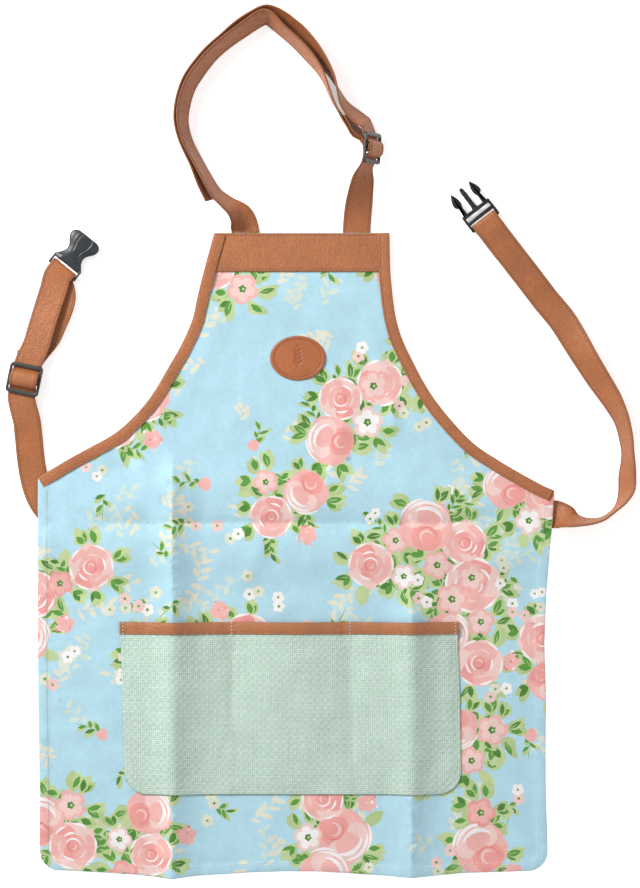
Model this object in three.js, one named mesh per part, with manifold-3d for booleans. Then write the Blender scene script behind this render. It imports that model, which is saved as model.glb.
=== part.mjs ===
import * as THREE from 'three';
import Module from 'manifold-3d';

const solids = await Module();
solids.setup();

// Sizes of the apron, in mm. The apron lies face up, +Y toward the neck.
const bibTop = 691;
const bibWidth = 189;
const bibCentre = 7.4;
const waistWidth = 557;
const waistCentre = 1.3;
const leftWaistHeight = 427.5;
const rightWaistHeight = 413;
const hemCornerRadius = 20;
const clothThickness = 1.2;
const bandHeight = 42;
const leatherThickness = 1.2;
const bindingWidth = 12.5;
const bindingWall = 1.0;
const gap = 0.3;
const bindingGap = 0.45;

// Sizes of the pocket.
const pocketTop = 271;
const pocketBottom = 84.8;
const pocketCornerRadius = 25;
const pocketBulge = 10.5;
const pocketBindingHeight = 13;

// Sizes of the straps and their fittings.
const strapWidth = 30;
const strapThickness = 2;
const neckReachAcross = 224.6;
const neckReachUp = 241.9;
const leftStrapReach = 294.8;
const rightStrapReach = 359.1;
const sliderWidth = 36.6;
const sliderLength = 33.5;
const sliderThickness = 3.2;
const barWidth = 4.5;
const buckleWidth = 36.5;
const buckleThickness = 8.6;
const badgeWidth = 60;
const badgeHeight = 48;

const bibLeft = bibCentre - bibWidth / 2;
const bibRight = bibCentre + bibWidth / 2;
const waistLeft = waistCentre - waistWidth / 2;
const waistRight = waistCentre + waistWidth / 2;

// Armhole edges: share of the way out to the waist corner, share of the way down to it.
const leftArmholeShares = [
  [0, 0], [0.049, 0.128], [0.095, 0.26], [0.125, 0.355], [0.182, 0.45], [0.257, 0.546],
  [0.354, 0.663], [0.446, 0.744], [0.558, 0.817], [0.7, 0.876], [0.812, 0.92], [0.924, 0.968], [1, 1],
];
const rightArmholeShares = [
  [0, 0], [0.01, 0.186], [0.055, 0.371], [0.156, 0.518], [0.253, 0.627], [0.374, 0.727],
  [0.514, 0.819], [0.66, 0.882], [0.803, 0.936], [0.93, 0.98], [1, 1],
];

// Side edges: share of the waist height, millimetres out from the waist corner.
const leftSide = [[0, -1.6], [0.1, -1.6], [0.26, -1.2], [0.4, -0.2], [0.6, 0.5], [1, 0]];
const rightSide = [
  [0, -7.2], [0.1, -7.6], [0.19, -9], [0.32, -9.4], [0.46, -8.8], [0.6, -10.6],
  [0.72, -8.8], [0.84, -5.2], [0.91, -2.2], [1, 0],
];

// Hem: share of the way across, millimetres above the mean hem line.
const hemWave = [
  [0, 4.6], [0.07, 2.6], [0.15, 0.2], [0.2, -1.8], [0.262, -5.2], [0.31, -2.6], [0.36, -1.1],
  [0.42, 1.1], [0.49, 2.2], [0.55, 2], [0.61, 0], [0.67, -2], [0.735, -4.3], [0.78, -2.6],
  [0.83, 0], [0.9, 1.4], [0.96, 2.4], [1, 3.6],
];

// Heights of the cloth's rows below the waist, at the left and at the right side.
const skirtRows = [
  [0, 0], [1.6, 1.6], [5.5, 5.5], [11.5, 11.5], [20, 20], [61, 61],
  [pocketBottom, pocketBottom], [110, 110], [140, 140], [170, 170], [200, 200], [257, 257],
  [pocketTop, pocketTop], [298, 298], [326, 326], [350, 350], [366, 366], [378, 378], [390, 388],
  [403, 396.5], [415.5, 405], [leftWaistHeight, rightWaistHeight],
];
const armholeRows = 14;

// Shares of the width at which the cloth's columns run. Two of them are the pocket's sides.
const pocketLeftShare = 0.163;
const pocketRightShare = 0.8285;
const columns = [
  0, 0.022, 0.06, 0.1245, pocketLeftShare, 0.199, 0.231, 0.2507, 0.2648, 0.279, 0.302, 0.3295,
  0.358, 0.3828, 0.416, 0.456, 0.499, 0.5425, 0.582, 0.6155, 0.649, 0.6825, 0.708, 0.722, 0.735,
  0.7485, 0.767, 0.795, pocketRightShare, 0.866, 0.9055, 0.955, 1,
];
const pocketDividers = [0.3828, 0.6155];

// Folds of the cloth: from and to as x and y, height, reach to the left, reach to the right, fade at the two ends.
const folds = [
  [-132, -20, -132, 475, 11.5, 32, 38, 1, 60],
  [125.5, -20, 126, 330, 9.5, 34, 34, 1, 60],
  [106, 462, 106, 585, 2.6, 14, 12, 25, 25],
  [-181, 460, -137, 398, 4.2, 20, 20, 18, 22],
  [186, 448, 276, 392, 5, 24, 26, 22, 18],
  [-265, 338, -265, 418, 2.4, 10, 12, 22, 18],
  [30, 402, 60, 520, 2.2, 22, 22, 40, 50],
  [-60, 300, -30, 372, 2.2, 24, 24, 30, 30],
];
const waistCreaseHeight = 378;
const waistCreaseRise = 3.6;
const waistCreaseReach = 30;

function smooth(low, high, value) {
  const t = Math.min(1, Math.max(0, (value - low) / (high - low)));
  return t * t * (3 - 2 * t);
}

function fromTable(table, share) {
  let i = 1;
  while (i < table.length - 1 && share > table[i][0]) i += 1;
  const [x0, y0] = table[i - 1];
  const [x1, y1] = table[i];
  const t = Math.min(1, Math.max(0, (share - x0) / (x1 - x0)));
  return y0 + (y1 - y0) * t;
}

// Nearest point of a polyline: distance and share of its length.
function nearestOn(line, x, y) {
  let best = { distance: Infinity, share: 0 };
  for (let i = 1; i < line.length; i += 1) {
    const [ax, ay] = line[i - 1];
    const [bx, by] = line[i];
    const dx = bx - ax;
    const dy = by - ay;
    const t = Math.min(1, Math.max(0, ((x - ax) * dx + (y - ay) * dy) / (dx * dx + dy * dy)));
    const distance = Math.hypot(x - ax - dx * t, y - ay - dy * t);
    if (distance < best.distance) best = { distance, share: (i - 1 + t) / (line.length - 1) };
  }
  return best;
}

function evenPoints(points, count) {
  const curve = new THREE.CatmullRomCurve3(
    points.map(([x, y]) => new THREE.Vector3(x, y, 0)), false, 'centripetal',
  );
  return curve.getSpacedPoints(count).map((p) => [p.x, p.y]);
}

// A line moved sideways, to the right of its own direction.
function offsetLine(line, distance) {
  return line.map((point, i) => {
    const before = line[Math.max(0, i - 1)];
    const after = line[Math.min(line.length - 1, i + 1)];
    const dx = after[0] - before[0];
    const dy = after[1] - before[1];
    const length = Math.hypot(dx, dy);
    return [point[0] + (dy / length) * distance, point[1] - (dx / length) * distance];
  });
}

const leftArmhole = evenPoints(
  leftArmholeShares.map(([out, down]) => [
    bibLeft + (waistLeft - bibLeft) * out,
    bibTop + (leftWaistHeight - bibTop) * down,
  ]), armholeRows,
);
const rightArmhole = evenPoints(
  rightArmholeShares.map(([out, down]) => [
    bibRight + (waistRight - bibRight) * out,
    bibTop + (rightWaistHeight - bibTop) * down,
  ]), armholeRows,
);
const edgeInset = bindingWall + bindingGap;
const leftClothArmhole = offsetLine(leftArmhole, -edgeInset);
const rightClothArmhole = offsetLine(rightArmhole, edgeInset);

// The binding rests on the table, and is lifted by the straps under it at both of its ends.
const bindingLift = [[0, 1.3], [3 / 14, 1.3], [5 / 14, 0], [10 / 14, 0], [13 / 14, 2.5], [1, 2.5]];

// Where strap ends are sewn behind the cloth: from, to.
const strapEnds = [
  [[-250, 376], [-277, 404]],
  [[232, 387.5], [281, 387.5]],
];

function strapLift(x, y) {
  let lift = 2.6 * smooth(560, 628, y);
  for (const end of strapEnds) {
    const { distance } = nearestOn(end, x, y);
    lift = Math.max(lift, 2.6 * (1 - smooth(25, 60, distance)));
  }
  return lift;
}

function foldHeight(x, y) {
  let height = 0;
  for (const [x0, y0, x1, y1, rise, leftReach, rightReach, fadeIn, fadeOut] of folds) {
    const dx = x1 - x0;
    const dy = y1 - y0;
    const length = Math.hypot(dx, dy);
    const along = ((x - x0) * dx + (y - y0) * dy) / length;
    const side = ((x - x0) * dy - (y - y0) * dx) / length;
    const fade = smooth(0, fadeIn, along) * (1 - smooth(length - fadeOut, length, along));
    const share = Math.min(1, Math.abs(side) / (side < 0 ? leftReach : rightReach));
    height += rise * fade * (1 - share) ** 1.7;
  }
  const away = Math.abs(y - waistCreaseHeight) / waistCreaseReach;
  height += waistCreaseRise * away * Math.exp(1 - away) * (1 - smooth(1.4, 3, away));
  return height;
}

// Height of the underside of the cloth above the table.
function clothBottom(x, y) {
  const left = nearestOn(leftArmhole, x, y);
  const right = nearestOn(rightArmhole, x, y);
  const near = left.distance < right.distance ? left : right;
  const atBinding = edgeInset + fromTable(bindingLift, near.share);
  const free = Math.max(foldHeight(x, y) * smooth(18, 50, near.distance), strapLift(x, y));
  return free + (atBinding - free) * (1 - smooth(19, 46, near.distance));
}

// Shift of a column towards the pocket's slanted sides.
function columnLean(share, y) {
  const down = Math.min(1, Math.max(0, (pocketTop - y) / (pocketTop - pocketBottom)));
  const left = 0.007 * Math.exp(-(((share - pocketLeftShare) / 0.05) ** 2));
  const right = 0.005 * Math.exp(-(((share - pocketRightShare) / 0.05) ** 2));
  return share + (left + right) * down;
}

function sideInset(y) {
  const up = Math.min(hemCornerRadius, y);
  return hemCornerRadius - Math.sqrt(hemCornerRadius ** 2 - (hemCornerRadius - up) ** 2);
}

function clothPoint(leftEdge, rightEdge, share, isSkirt) {
  const lean = isSkirt ? columnLean(share, leftEdge[1]) : share;
  const x = leftEdge[0] + (rightEdge[0] - leftEdge[0]) * lean;
  let y = leftEdge[1] + (rightEdge[1] - leftEdge[1]) * share;
  y += fromTable(hemWave, (x - waistLeft) / (waistWidth - 8)) * (1 - smooth(0, 80, y));
  return [x, y];
}

const clothEdges = skirtRows.map(([leftUp, rightUp]) => [
  [waistLeft - fromTable(leftSide, leftUp / leftWaistHeight) + sideInset(leftUp), leftUp],
  [waistRight + fromTable(rightSide, rightUp / rightWaistHeight) - sideInset(rightUp), rightUp],
]);
clothEdges.pop();
for (let i = armholeRows; i >= 0; i -= 1) clothEdges.push([leftClothArmhole[i], rightClothArmhole[i]]);

const clothGrid = clothEdges.map(([leftEdge, rightEdge], row) => columns.map((share) => {
  const [x, y] = clothPoint(leftEdge, rightEdge, share, row < skirtRows.length);
  return [x, y, clothBottom(x, y)];
}));

function raised(grid, height) {
  return grid.map((row) => row.map(([x, y, z]) => [x, y, z + height]));
}

// Height of the cloth's top face at a place, read from the faceted sheet itself.
function clothTopAt(x, y) {
  let best = null;
  for (let i = 1; i < clothGrid.length; i += 1) {
    for (let j = 1; j < columns.length; j += 1) {
      const corners = [clothGrid[i - 1][j - 1], clothGrid[i - 1][j], clothGrid[i][j], clothGrid[i][j - 1]];
      for (const [a, b, c] of [[corners[0], corners[1], corners[2]], [corners[0], corners[2], corners[3]]]) {
        const det = (b[0] - a[0]) * (c[1] - a[1]) - (c[0] - a[0]) * (b[1] - a[1]);
        const u = ((x - a[0]) * (c[1] - a[1]) - (c[0] - a[0]) * (y - a[1])) / det;
        const v = ((b[0] - a[0]) * (y - a[1]) - (x - a[0]) * (b[1] - a[1])) / det;
        const outside = Math.max(-u, -v, u + v - 1, 0);
        if (!best || outside < best.outside) {
          best = { outside, z: a[2] + u * (b[2] - a[2]) + v * (c[2] - a[2]) };
          if (outside === 0) return best.z + clothThickness;
        }
      }
    }
  }
  return best.z + clothThickness;
}

// A closed solid from triangles, turned face out.
function solidFrom(points, triangles) {
  let volume = 0;
  for (const [i, j, k] of triangles) {
    const [a, b, c] = [points[i], points[j], points[k]];
    volume += a[0] * (b[1] * c[2] - b[2] * c[1]) - a[1] * (b[0] * c[2] - b[2] * c[0])
      + a[2] * (b[0] * c[1] - b[1] * c[0]);
  }
  const turned = volume < 0 ? triangles.map(([i, j, k]) => [i, k, j]) : triangles;
  const geometry = new THREE.BufferGeometry();
  geometry.setAttribute('position', new THREE.Float32BufferAttribute(points.flat(), 3));
  geometry.setIndex(turned.flat());
  return geometry;
}

// A sheet between two grids of points.
function gridSolid(bottom, top) {
  const rows = bottom.length;
  const across = bottom[0].length;
  const points = [...bottom.flat(), ...top.flat()];
  const triangles = [];
  const at = (layer, i, j) => layer * rows * across + i * across + j;
  for (let i = 1; i < rows; i += 1) {
    for (let j = 1; j < across; j += 1) {
      triangles.push([at(1, i - 1, j - 1), at(1, i - 1, j), at(1, i, j)]);
      triangles.push([at(1, i - 1, j - 1), at(1, i, j), at(1, i, j - 1)]);
      triangles.push([at(0, i - 1, j - 1), at(0, i, j), at(0, i - 1, j)]);
      triangles.push([at(0, i - 1, j - 1), at(0, i, j - 1), at(0, i, j)]);
    }
  }
  const rim = [];
  for (let j = 0; j < across; j += 1) rim.push([0, j]);
  for (let i = 1; i < rows; i += 1) rim.push([i, across - 1]);
  for (let j = across - 2; j >= 0; j -= 1) rim.push([rows - 1, j]);
  for (let i = rows - 2; i > 0; i -= 1) rim.push([i, 0]);
  rim.forEach(([i, j], k) => {
    const [m, n] = rim[(k + 1) % rim.length];
    triangles.push([at(0, i, j), at(0, m, n), at(1, m, n)], [at(0, i, j), at(1, m, n), at(1, i, j)]);
  });
  return solidFrom(points, triangles);
}

// A solid through rings of points, closed by flat caps that follow the first ring's own outline.
function loft(rings, capOutline) {
  const count = rings[0].length;
  const points = rings.flat();
  const triangles = [];
  for (let i = 1; i < rings.length; i += 1) {
    for (let j = 0; j < count; j += 1) {
      const k = (j + 1) % count;
      const [a, b] = [(i - 1) * count + j, (i - 1) * count + k];
      const [c, d] = [i * count + k, i * count + j];
      triangles.push([a, b, c], [a, c, d]);
    }
  }
  const outline = capOutline.map(([x, y]) => new THREE.Vector2(x, y));
  const last = (rings.length - 1) * count;
  for (const [i, j, k] of THREE.ShapeUtils.triangulateShape(outline, [])) {
    triangles.push([i, k, j], [last + i, last + j, last + k]);
  }
  return solidFrom(points, triangles);
}

// Folded edging round a line: depth from the edge inwards, height of the slot it leaves.
function foldedSection(width, slot) {
  const top = 2 * bindingWall + slot;
  return [
    [0, 0.5], [0.5, 0], [width, 0], [width, bindingWall], [bindingWall, bindingWall],
    [bindingWall, bindingWall + slot], [width, bindingWall + slot], [width, top], [0.5, top], [0, top - 0.5],
  ];
}

function armholeBinding(line, side) {
  const inner = offsetLine(line, side);
  const slotCloth = clothThickness + 2 * bindingGap;
  const slotBand = slotCloth + leatherThickness + gap;
  const rings = line.map(([x, y], i) => {
    const share = i / (line.length - 1);
    const slot = slotCloth + (slotBand - slotCloth) * (1 - smooth(0.15, 0.21, share));
    const base = fromTable(bindingLift, share);
    return foldedSection(bindingWidth, slot).map(([depth, height]) => [
      x + (inner[i][0] - x) * depth, y + (inner[i][1] - y) * depth, base + height,
    ]);
  });
  return loft(rings, foldedSection(bindingWidth, slotCloth));
}

// The band's rows follow the cloth under it and end inside the bindings.
function topBand() {
  const grid = [bandHeight, 28, 14, 0.4].map((down) => {
    const y = bibTop - down;
    const across = (line, inset) => {
      let i = 1;
      while (i < line.length - 1 && line[i][1] > y) i += 1;
      const t = (line[i - 1][1] - y) / (line[i - 1][1] - line[i][1]);
      return line[i - 1][0] + (line[i][0] - line[i - 1][0]) * t + inset;
    };
    const leftX = across(leftArmhole, edgeInset + 0.6);
    const rightX = across(rightArmhole, -edgeInset - 0.6);
    return columns.filter((share, j) => j % 2 === 0).map((share) => {
      const x = leftX + (rightX - leftX) * share;
      return [x, y, clothTopAt(x, y) + gap];
    });
  });
  return gridSolid(grid, raised(grid, leatherThickness));
}

// The pocket: its underside stands off the cloth by the seam's gap, and bulges between the seams.
const pocketColumns = [
  ...columns.filter((share) => share >= pocketLeftShare && share <= pocketRightShare),
  pocketLeftShare + 0.006, pocketLeftShare + 0.019, pocketRightShare - 0.006, pocketRightShare - 0.019,
].sort((a, b) => a - b);
const pocketSeams = [pocketLeftShare, ...pocketDividers, pocketRightShare];
const pocketRows = [0, 0.03, 0.135, 0.3, 0.457, 0.62, 0.78, 0.925, 0.994];

function pocketPoint(share, up) {
  const fromSide = Math.min(share - pocketLeftShare, pocketRightShare - share) * (waistWidth - 8);
  const inCorner = Math.max(0, pocketCornerRadius - fromSide);
  const bottom = pocketBottom + pocketCornerRadius - Math.sqrt(pocketCornerRadius ** 2 - inCorner ** 2);
  const y = bottom + (pocketTop - bottom) * up;
  const leftX = waistLeft - fromTable(leftSide, y / leftWaistHeight);
  const rightX = waistRight + fromTable(rightSide, y / rightWaistHeight);
  const x = leftX + (rightX - leftX) * columnLean(share, y);
  let seam = 1;
  while (seam < pocketSeams.length - 1 && share > pocketSeams[seam]) seam += 1;
  const span = (share - pocketSeams[seam - 1]) / (pocketSeams[seam] - pocketSeams[seam - 1]);
  const bulge = pocketBulge * Math.min(1, up / 0.9) ** 0.8 * Math.sin(Math.PI * span) ** 0.55;
  const seamGap = 0.4 + 1.4 * smooth(0.78, 0.92, up);
  return [x, y, clothTopAt(x, y) + Math.max(seamGap, bulge || 0)];
}

const pocketGrid = pocketRows.map((up) => pocketColumns.map((share) => pocketPoint(share, up)));

function pocketBinding() {
  const slot = clothThickness + 2 * gap;
  const section = foldedSection(pocketBindingHeight, slot);
  const last = pocketGrid.length - 1;
  const rings = pocketColumns.map((share, j) => {
    const high = pocketGrid[last][j];
    const low = pocketGrid[last - 1][j];
    const slope = (high[2] - low[2]) / (high[1] - low[1]);
    const end = j === 0 ? -0.8 : (j === pocketColumns.length - 1 ? 0.8 : 0);
    return section.map(([depth, height]) => [
      high[0] + end, high[1] + edgeInset - depth,
      high[2] - gap - bindingWall + height + slope * Math.max(edgeInset - depth, low[1] - high[1]),
    ]);
  });
  return loft(rings, section);
}

// Ribbon stations: place, direction of the width, and later the direction of the thickness.
function ribbon(stations) {
  const rings = stations.map(({ place, width }, i) => {
    const before = stations[Math.max(0, i - 1)].place;
    const after = stations[Math.min(stations.length - 1, i + 1)].place;
    const along = after.clone().sub(before).normalize();
    const flat = width.clone().addScaledVector(along, -width.dot(along)).normalize();
    const normal = flat.clone().cross(along).normalize();
    return [[-1, -1], [1, -1], [1, 1], [-1, 1]].map(([w, n]) => place.clone()
      .addScaledVector(flat, (w * strapWidth) / 2)
      .addScaledVector(normal, (n * strapThickness) / 2).toArray());
  });
  return loft(rings, [[-1, -1], [1, -1], [1, 1], [-1, 1]]);
}

// Stations of a free strap: across and up as shares of its reach, roll in degrees, lift off the table.
function route(table, originX, originY, reachAcross, reachUp, steps = 2) {
  const keys = table.map(([across, up, roll, lift]) => [
    originX + across * reachAcross, originY + up * reachUp, roll, lift,
  ]);
  const rows = [];
  for (let i = 0; i < keys.length - 1; i += 1) {
    const [a, b] = [keys[Math.max(0, i - 1)], keys[i]];
    const [c, d] = [keys[i + 1], keys[Math.min(keys.length - 1, i + 2)]];
    for (let k = 0; k < steps; k += 1) {
      const t = k / steps;
      rows.push(b.map((value, n) => 0.5 * (2 * value + (c[n] - a[n]) * t
        + (2 * a[n] - 5 * value + 4 * c[n] - d[n]) * t * t + (3 * value - a[n] - 3 * c[n] + d[n]) * t ** 3)));
    }
  }
  rows.push(keys[keys.length - 1]);
  return rows.map(([x, y, degrees, lift], i) => {
    const before = rows[Math.max(0, i - 1)];
    const after = rows[Math.min(rows.length - 1, i + 1)];
    const [dx, dy] = [after[0] - before[0], after[1] - before[1]];
    const length = Math.hypot(dx, dy);
    const roll = (degrees * Math.PI) / 180;
    const z = (strapWidth / 2) * Math.abs(Math.sin(roll)) + (strapThickness / 2) * Math.abs(Math.cos(roll));
    return {
      place: new THREE.Vector3(x, y, z + lift + 0.05),
      width: new THREE.Vector3(
        (Math.cos(roll) * dy) / length, (-Math.cos(roll) * dx) / length, Math.sin(roll),
      ),
    };
  });
}

// A fitting's own frame: its middle, its heading clockwise from +Y, its roll.
function fittingFrame(x, y, z, headingDegrees, rollDegrees) {
  const heading = (headingDegrees * Math.PI) / 180;
  const roll = (rollDegrees * Math.PI) / 180;
  const along = new THREE.Vector3(Math.sin(heading), Math.cos(heading), 0);
  const width = new THREE.Vector3(
    Math.cos(roll) * Math.cos(heading), -Math.cos(roll) * Math.sin(heading), Math.sin(roll),
  );
  const normal = width.clone().cross(along);
  return { middle: new THREE.Vector3(x, y, z), along, width, normal };
}

// Stations in a fitting's frame: distance along, height over its middle plane.
function threaded(frame, table) {
  return table.map(([along, up]) => ({
    place: frame.middle.clone().addScaledVector(frame.along, along).addScaledVector(frame.normal, up),
    width: frame.width.clone(),
  }));
}

// Threading of a slider: along, height. The running layer passes under, over and under the three bars.
const halfRun = [[12.5, -3.1], [10.6, -2.6], [9, -0.9], [7.7, 1.5], [6.4, 3.8], [4.4, 5.2], [2, 5.6]];
const runningLayer = [...halfRun.map(([along, up]) => [-along, up]), [0, 5.6], ...[...halfRun].reverse()];
const wrapLayer = [
  [3.5, -4.7], [1.2, -3.3], [-2.4, -3.05], [-3.7, -1.7], [-3.7, 1.7], [-2.4, 3.1], [2.4, 3.1],
  [3.75, 1.7], [3.8, -0.4], [4.6, -2],
];
const neckEntry = [[10, -9.7], [6.5, -7.2]];
const neckExit = [[8.2, -5.4], [11.9, -8]];
const barWrap = [[-2.4, 3.0], [2.4, 3.0], [3.7, 1.7], [3.7, -1.7], [2.4, -3.0], [-2.4, -3.0]];

function geometryOf(solid, frame) {
  const mesh = solid.getMesh();
  const points = [];
  for (let i = 0; i < mesh.vertProperties.length; i += mesh.numProp) {
    const [x, y, z] = mesh.vertProperties.slice(i, i + 3);
    points.push(frame.middle.clone().addScaledVector(frame.width, x).addScaledVector(frame.along, y)
      .addScaledVector(frame.normal, z).toArray());
  }
  const triangles = [];
  for (let i = 0; i < mesh.triVerts.length; i += 3) triangles.push([...mesh.triVerts.slice(i, i + 3)]);
  return solidFrom(points, triangles);
}

// A bar or rail with its four long edges taken off, centred, its length along x.
function chamferedBar(length, width, thickness, cut = 0.7) {
  const [w, t] = [width / 2, thickness / 2];
  const section = new solids.CrossSection([[
    [w, t - cut], [w - cut, t], [cut - w, t], [-w, t - cut],
    [-w, cut - t], [cut - w, -t], [w - cut, -t], [w, cut - t],
  ]]);
  return section.extrude(length, 0, 0, [1, 1], true).rotate([90, 0, 90]);
}

function slider(frame) {
  const rail = (sliderWidth - strapWidth - 1) / 2;
  const endBar = (sliderLength - barWidth) / 2;
  const side = (sliderWidth - rail) / 2;
  const parts = [-endBar, 0, endBar].map((along) => chamferedBar(sliderWidth - 0.2, barWidth, sliderThickness)
    .translate([0, along, 0]));
  for (const across of [-side, side]) {
    parts.push(chamferedBar(sliderLength - 0.2, rail, sliderThickness).rotate([0, 0, 90])
      .translate([across, 0, 0]));
  }
  return geometryOf(solids.Manifold.union(parts), frame);
}

// Half widths of the female buckle along its length, from its bar to its mouth.
const femaleOutline = [
  [-2.2, 17.7], [8, 17.7], [11, 16.2], [16, 12.4], [21, 10.8], [27, 10.8], [32, 12.6], [36.5, 15.4],
  [41, 16.6], [44.8, 16.6],
];

function plate(outline, thickness) {
  const right = outline.map(([along, half]) => [half, along]);
  const left = [...outline].reverse().map(([along, half]) => [-half, along]);
  return new solids.CrossSection([[...right, ...left]]).extrude(thickness, 0, 0, [1, 1], true);
}

function femaleBuckle(frame) {
  const body = plate(femaleOutline.filter(([along]) => along > 7), buckleThickness);
  const hollow = plate([[12, 9], [14, 10.2], [20, 8.6], [28, 8.6], [33, 11], [37, 13.6], [46, 14.2]], 6);
  const window = plate([[13.2, 3], [19, 3]], 20);
  const sideSlots = new solids.CrossSection([[[-20, 24], [20, 24], [20, 33], [-20, 33]]])
    .extrude(4, 0, 0, [1, 1], true);
  const rails = [-1, 1].map((side) => chamferedBar(13, 2.4, 3.6)
    .rotate([0, 0, 90]).translate([side * (buckleWidth / 2 - 1.4), 4, 0]));
  const bar = chamferedBar(buckleWidth - 2, 4.4, sliderThickness);
  const solid = solids.Manifold.union([body, bar, ...rails]).subtract(hollow).subtract(sideSlots);
  return geometryOf(solid.subtract(window), frame);
}

function maleBuckle(frame) {
  const bars = [0, 8.6, 16.8].map((along) => chamferedBar(buckleWidth - 0.4, 4.2, sliderThickness)
    .translate([0, along, 0]));
  const rails = [-1, 1].map((side) => chamferedBar(20.6, 2.8, 3.6)
    .rotate([0, 0, 90]).translate([side * (buckleWidth / 2 - 1.4), 8.4, 0]));
  const middle = chamferedBar(29, 4.6, 3).rotate([0, 0, 90]).translate([0, 31, 0]);
  const arms = [-1, 1].map((side) => {
    const outline = [
      [10.6, 17.5], [13.6, 17.5], [13.4, 27], [16.4, 30.5], [16.2, 33.5], [12.8, 43.5], [9.6, 45.6],
      [8.4, 44.6], [9.4, 34], [10.4, 26],
    ].map(([x, y]) => [x * side, y]);
    if (side < 0) outline.reverse();
    return new solids.CrossSection([outline]).extrude(4.2, 0, 0, [1, 1], true);
  });
  return geometryOf(solids.Manifold.union([...bars, ...rails, middle, ...arms]), frame);
}

function badge(frame) {
  const oval = (inset, thickness) => {
    const outline = [];
    for (let i = 0; i < 30; i += 1) {
      const angle = (i / 30) * 2 * Math.PI;
      outline.push([(badgeWidth / 2 - inset) * Math.cos(angle), (badgeHeight / 2 - inset) * Math.sin(angle)]);
    }
    return new solids.CrossSection([outline]).extrude(thickness);
  };
  const rim = oval(2.6, 0.4).subtract(oval(3.8, 0.4)).translate([0, 0, 1.19]);
  return geometryOf(solids.Manifold.union([oval(0, 1.2), rim]), frame);
}

// Routes of the straps: across, up, roll, lift.
const neckFixed = [
  [-0.267, -0.156, 0, 0], [-0.266, -0.076, 0, 0], [-0.267, -0.013, 0, 0], [-0.271, 0.018, 0, 0],
  [-0.288, 0.067, -22, 0], [-0.329, 0.112, -52, 0], [-0.406, 0.172, -64, 0], [-0.451, 0.239, -68, 0],
  [-0.497, 0.317, -69.5, 0], [-0.548, 0.411, -68.5, 0], [-0.569, 0.496, -68, 0],
  [-0.562, 0.573, -65.6, 0], [-0.538, 0.645, -66, 0], [-0.504, 0.701, -65, 0], [-0.435, 0.783, -67, 0],
  [-0.36, 0.846, -67, 0], [-0.286, 0.896, -65, 0], [-0.218, 0.94, -63, 0], [-0.177, 0.959, -62, 0],
  [-0.149, 0.949, -66, 0], [-0.096, 0.902, -71, 0], [-0.026, 0.844, -71.5, 0], [0.038, 0.781, -72.5, 0],
  [0.091, 0.716, -80, 0], [0.123, 0.652, -86, 0], [0.154, 0.58, -90, 0], [0.2, 0.509, -98, 0.5],
  [0.234, 0.471, -105, 1.2], [0.26, 0.438, -111, 2.6],
];
const neckRunning = [
  [0.264, -0.156, 0, 0], [0.265, -0.076, 0, 0], [0.265, -0.013, 0, 0], [0.266, 0.022, 0, 0.3],
  [0.272, 0.094, -8, 1.5], [0.282, 0.165, -22, 3.2], [0.296, 0.241, -40, 4.2],
];
const neckReturn = [
  [0.271, 0.446, -69, 2.6], [0.244, 0.479, -75, 1.2], [0.211, 0.519, -82, 0.5],
];
const neckTail = [
  [0.307, 0.487, -60, 3.6], [0.275, 0.522, -64, 2], [0.229, 0.576, -76, 0.5], [0.163, 0.689, -98, 0],
  [0.077, 0.796, -112, 0], [0, 0.882, -116, 0], [-0.05, 0.922, -116, 0], [-0.098, 0.955, -116, 0],
  [-0.165, 0.982, -112, 0], [-0.227, 0.955, -115, 0], [-0.299, 0.912, -115, 0], [-0.37, 0.856, -113, 0],
  [-0.445, 0.794, -113, 0], [-0.516, 0.71, -115, 0], [-0.551, 0.652, -114, 0], [-0.575, 0.575, -114, 0],
  [-0.583, 0.495, -112, 0], [-0.56, 0.406, -111, 0], [-0.512, 0.308, -110, 0], [-0.473, 0.219, -112, 0],
  [-0.433, 0.143, -112, 0],
];
const leftLower = [
  [0.101, -0.081, 0, 0], [0.042, -0.037, 0, 0], [0.007, 0.015, 0, 0], [-0.013, 0.073, 0, 0],
  [-0.026, 0.147, 0, 0.4], [-0.033, 0.22, 0, 2], [-0.039, 0.286, 3, 4.5],
];
const leftUpper = [[-0.005, 0.571, 9, 5], [0.029, 0.684, 10, 5], [0.057, 0.77, 5, 6]];
const leftBack = [[0.079, 0.79, 178, 0.2], [0.088, 0.745, 174, 0.5], [0.073, 0.689, 172, 0], [0.035, 0.604, 173, 0]];
const rightRoute = [
  [-0.129, 0, 0, 0], [-0.069, 0, 0, 0], [-0.021, 0, 0, 0], [0.005, -0, 0, 0], [0.021, -0.005, 18, 0],
  [0.038, -0.011, 42, 0], [0.057, -0.017, 60, 0], [0.082, -0.02, 73, 0], [0.109, -0.02, 80, 0],
  [0.144, -0.012, 86, 0], [0.177, 0.012, 87, 0], [0.2, 0.039, 76, 0], [0.215, 0.074, 60, 0],
  [0.217, 0.113, 57, 0], [0.219, 0.152, 64, 0], [0.218, 0.188, 69, 0], [0.214, 0.224, 66, 0],
  [0.2, 0.284, 61, 0], [0.171, 0.344, 47, 0], [0.132, 0.405, 36, 0], [0.095, 0.465, 28, 0],
  [0.06, 0.525, 17, 0], [0.023, 0.585, 6, 0], [-0.026, 0.645, 0, 0.2], [-0.072, 0.705, 0, 1],
  [-0.119, 0.765, 0, 2.7], [-0.165, 0.824, 0, 4.2],
];

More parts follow.
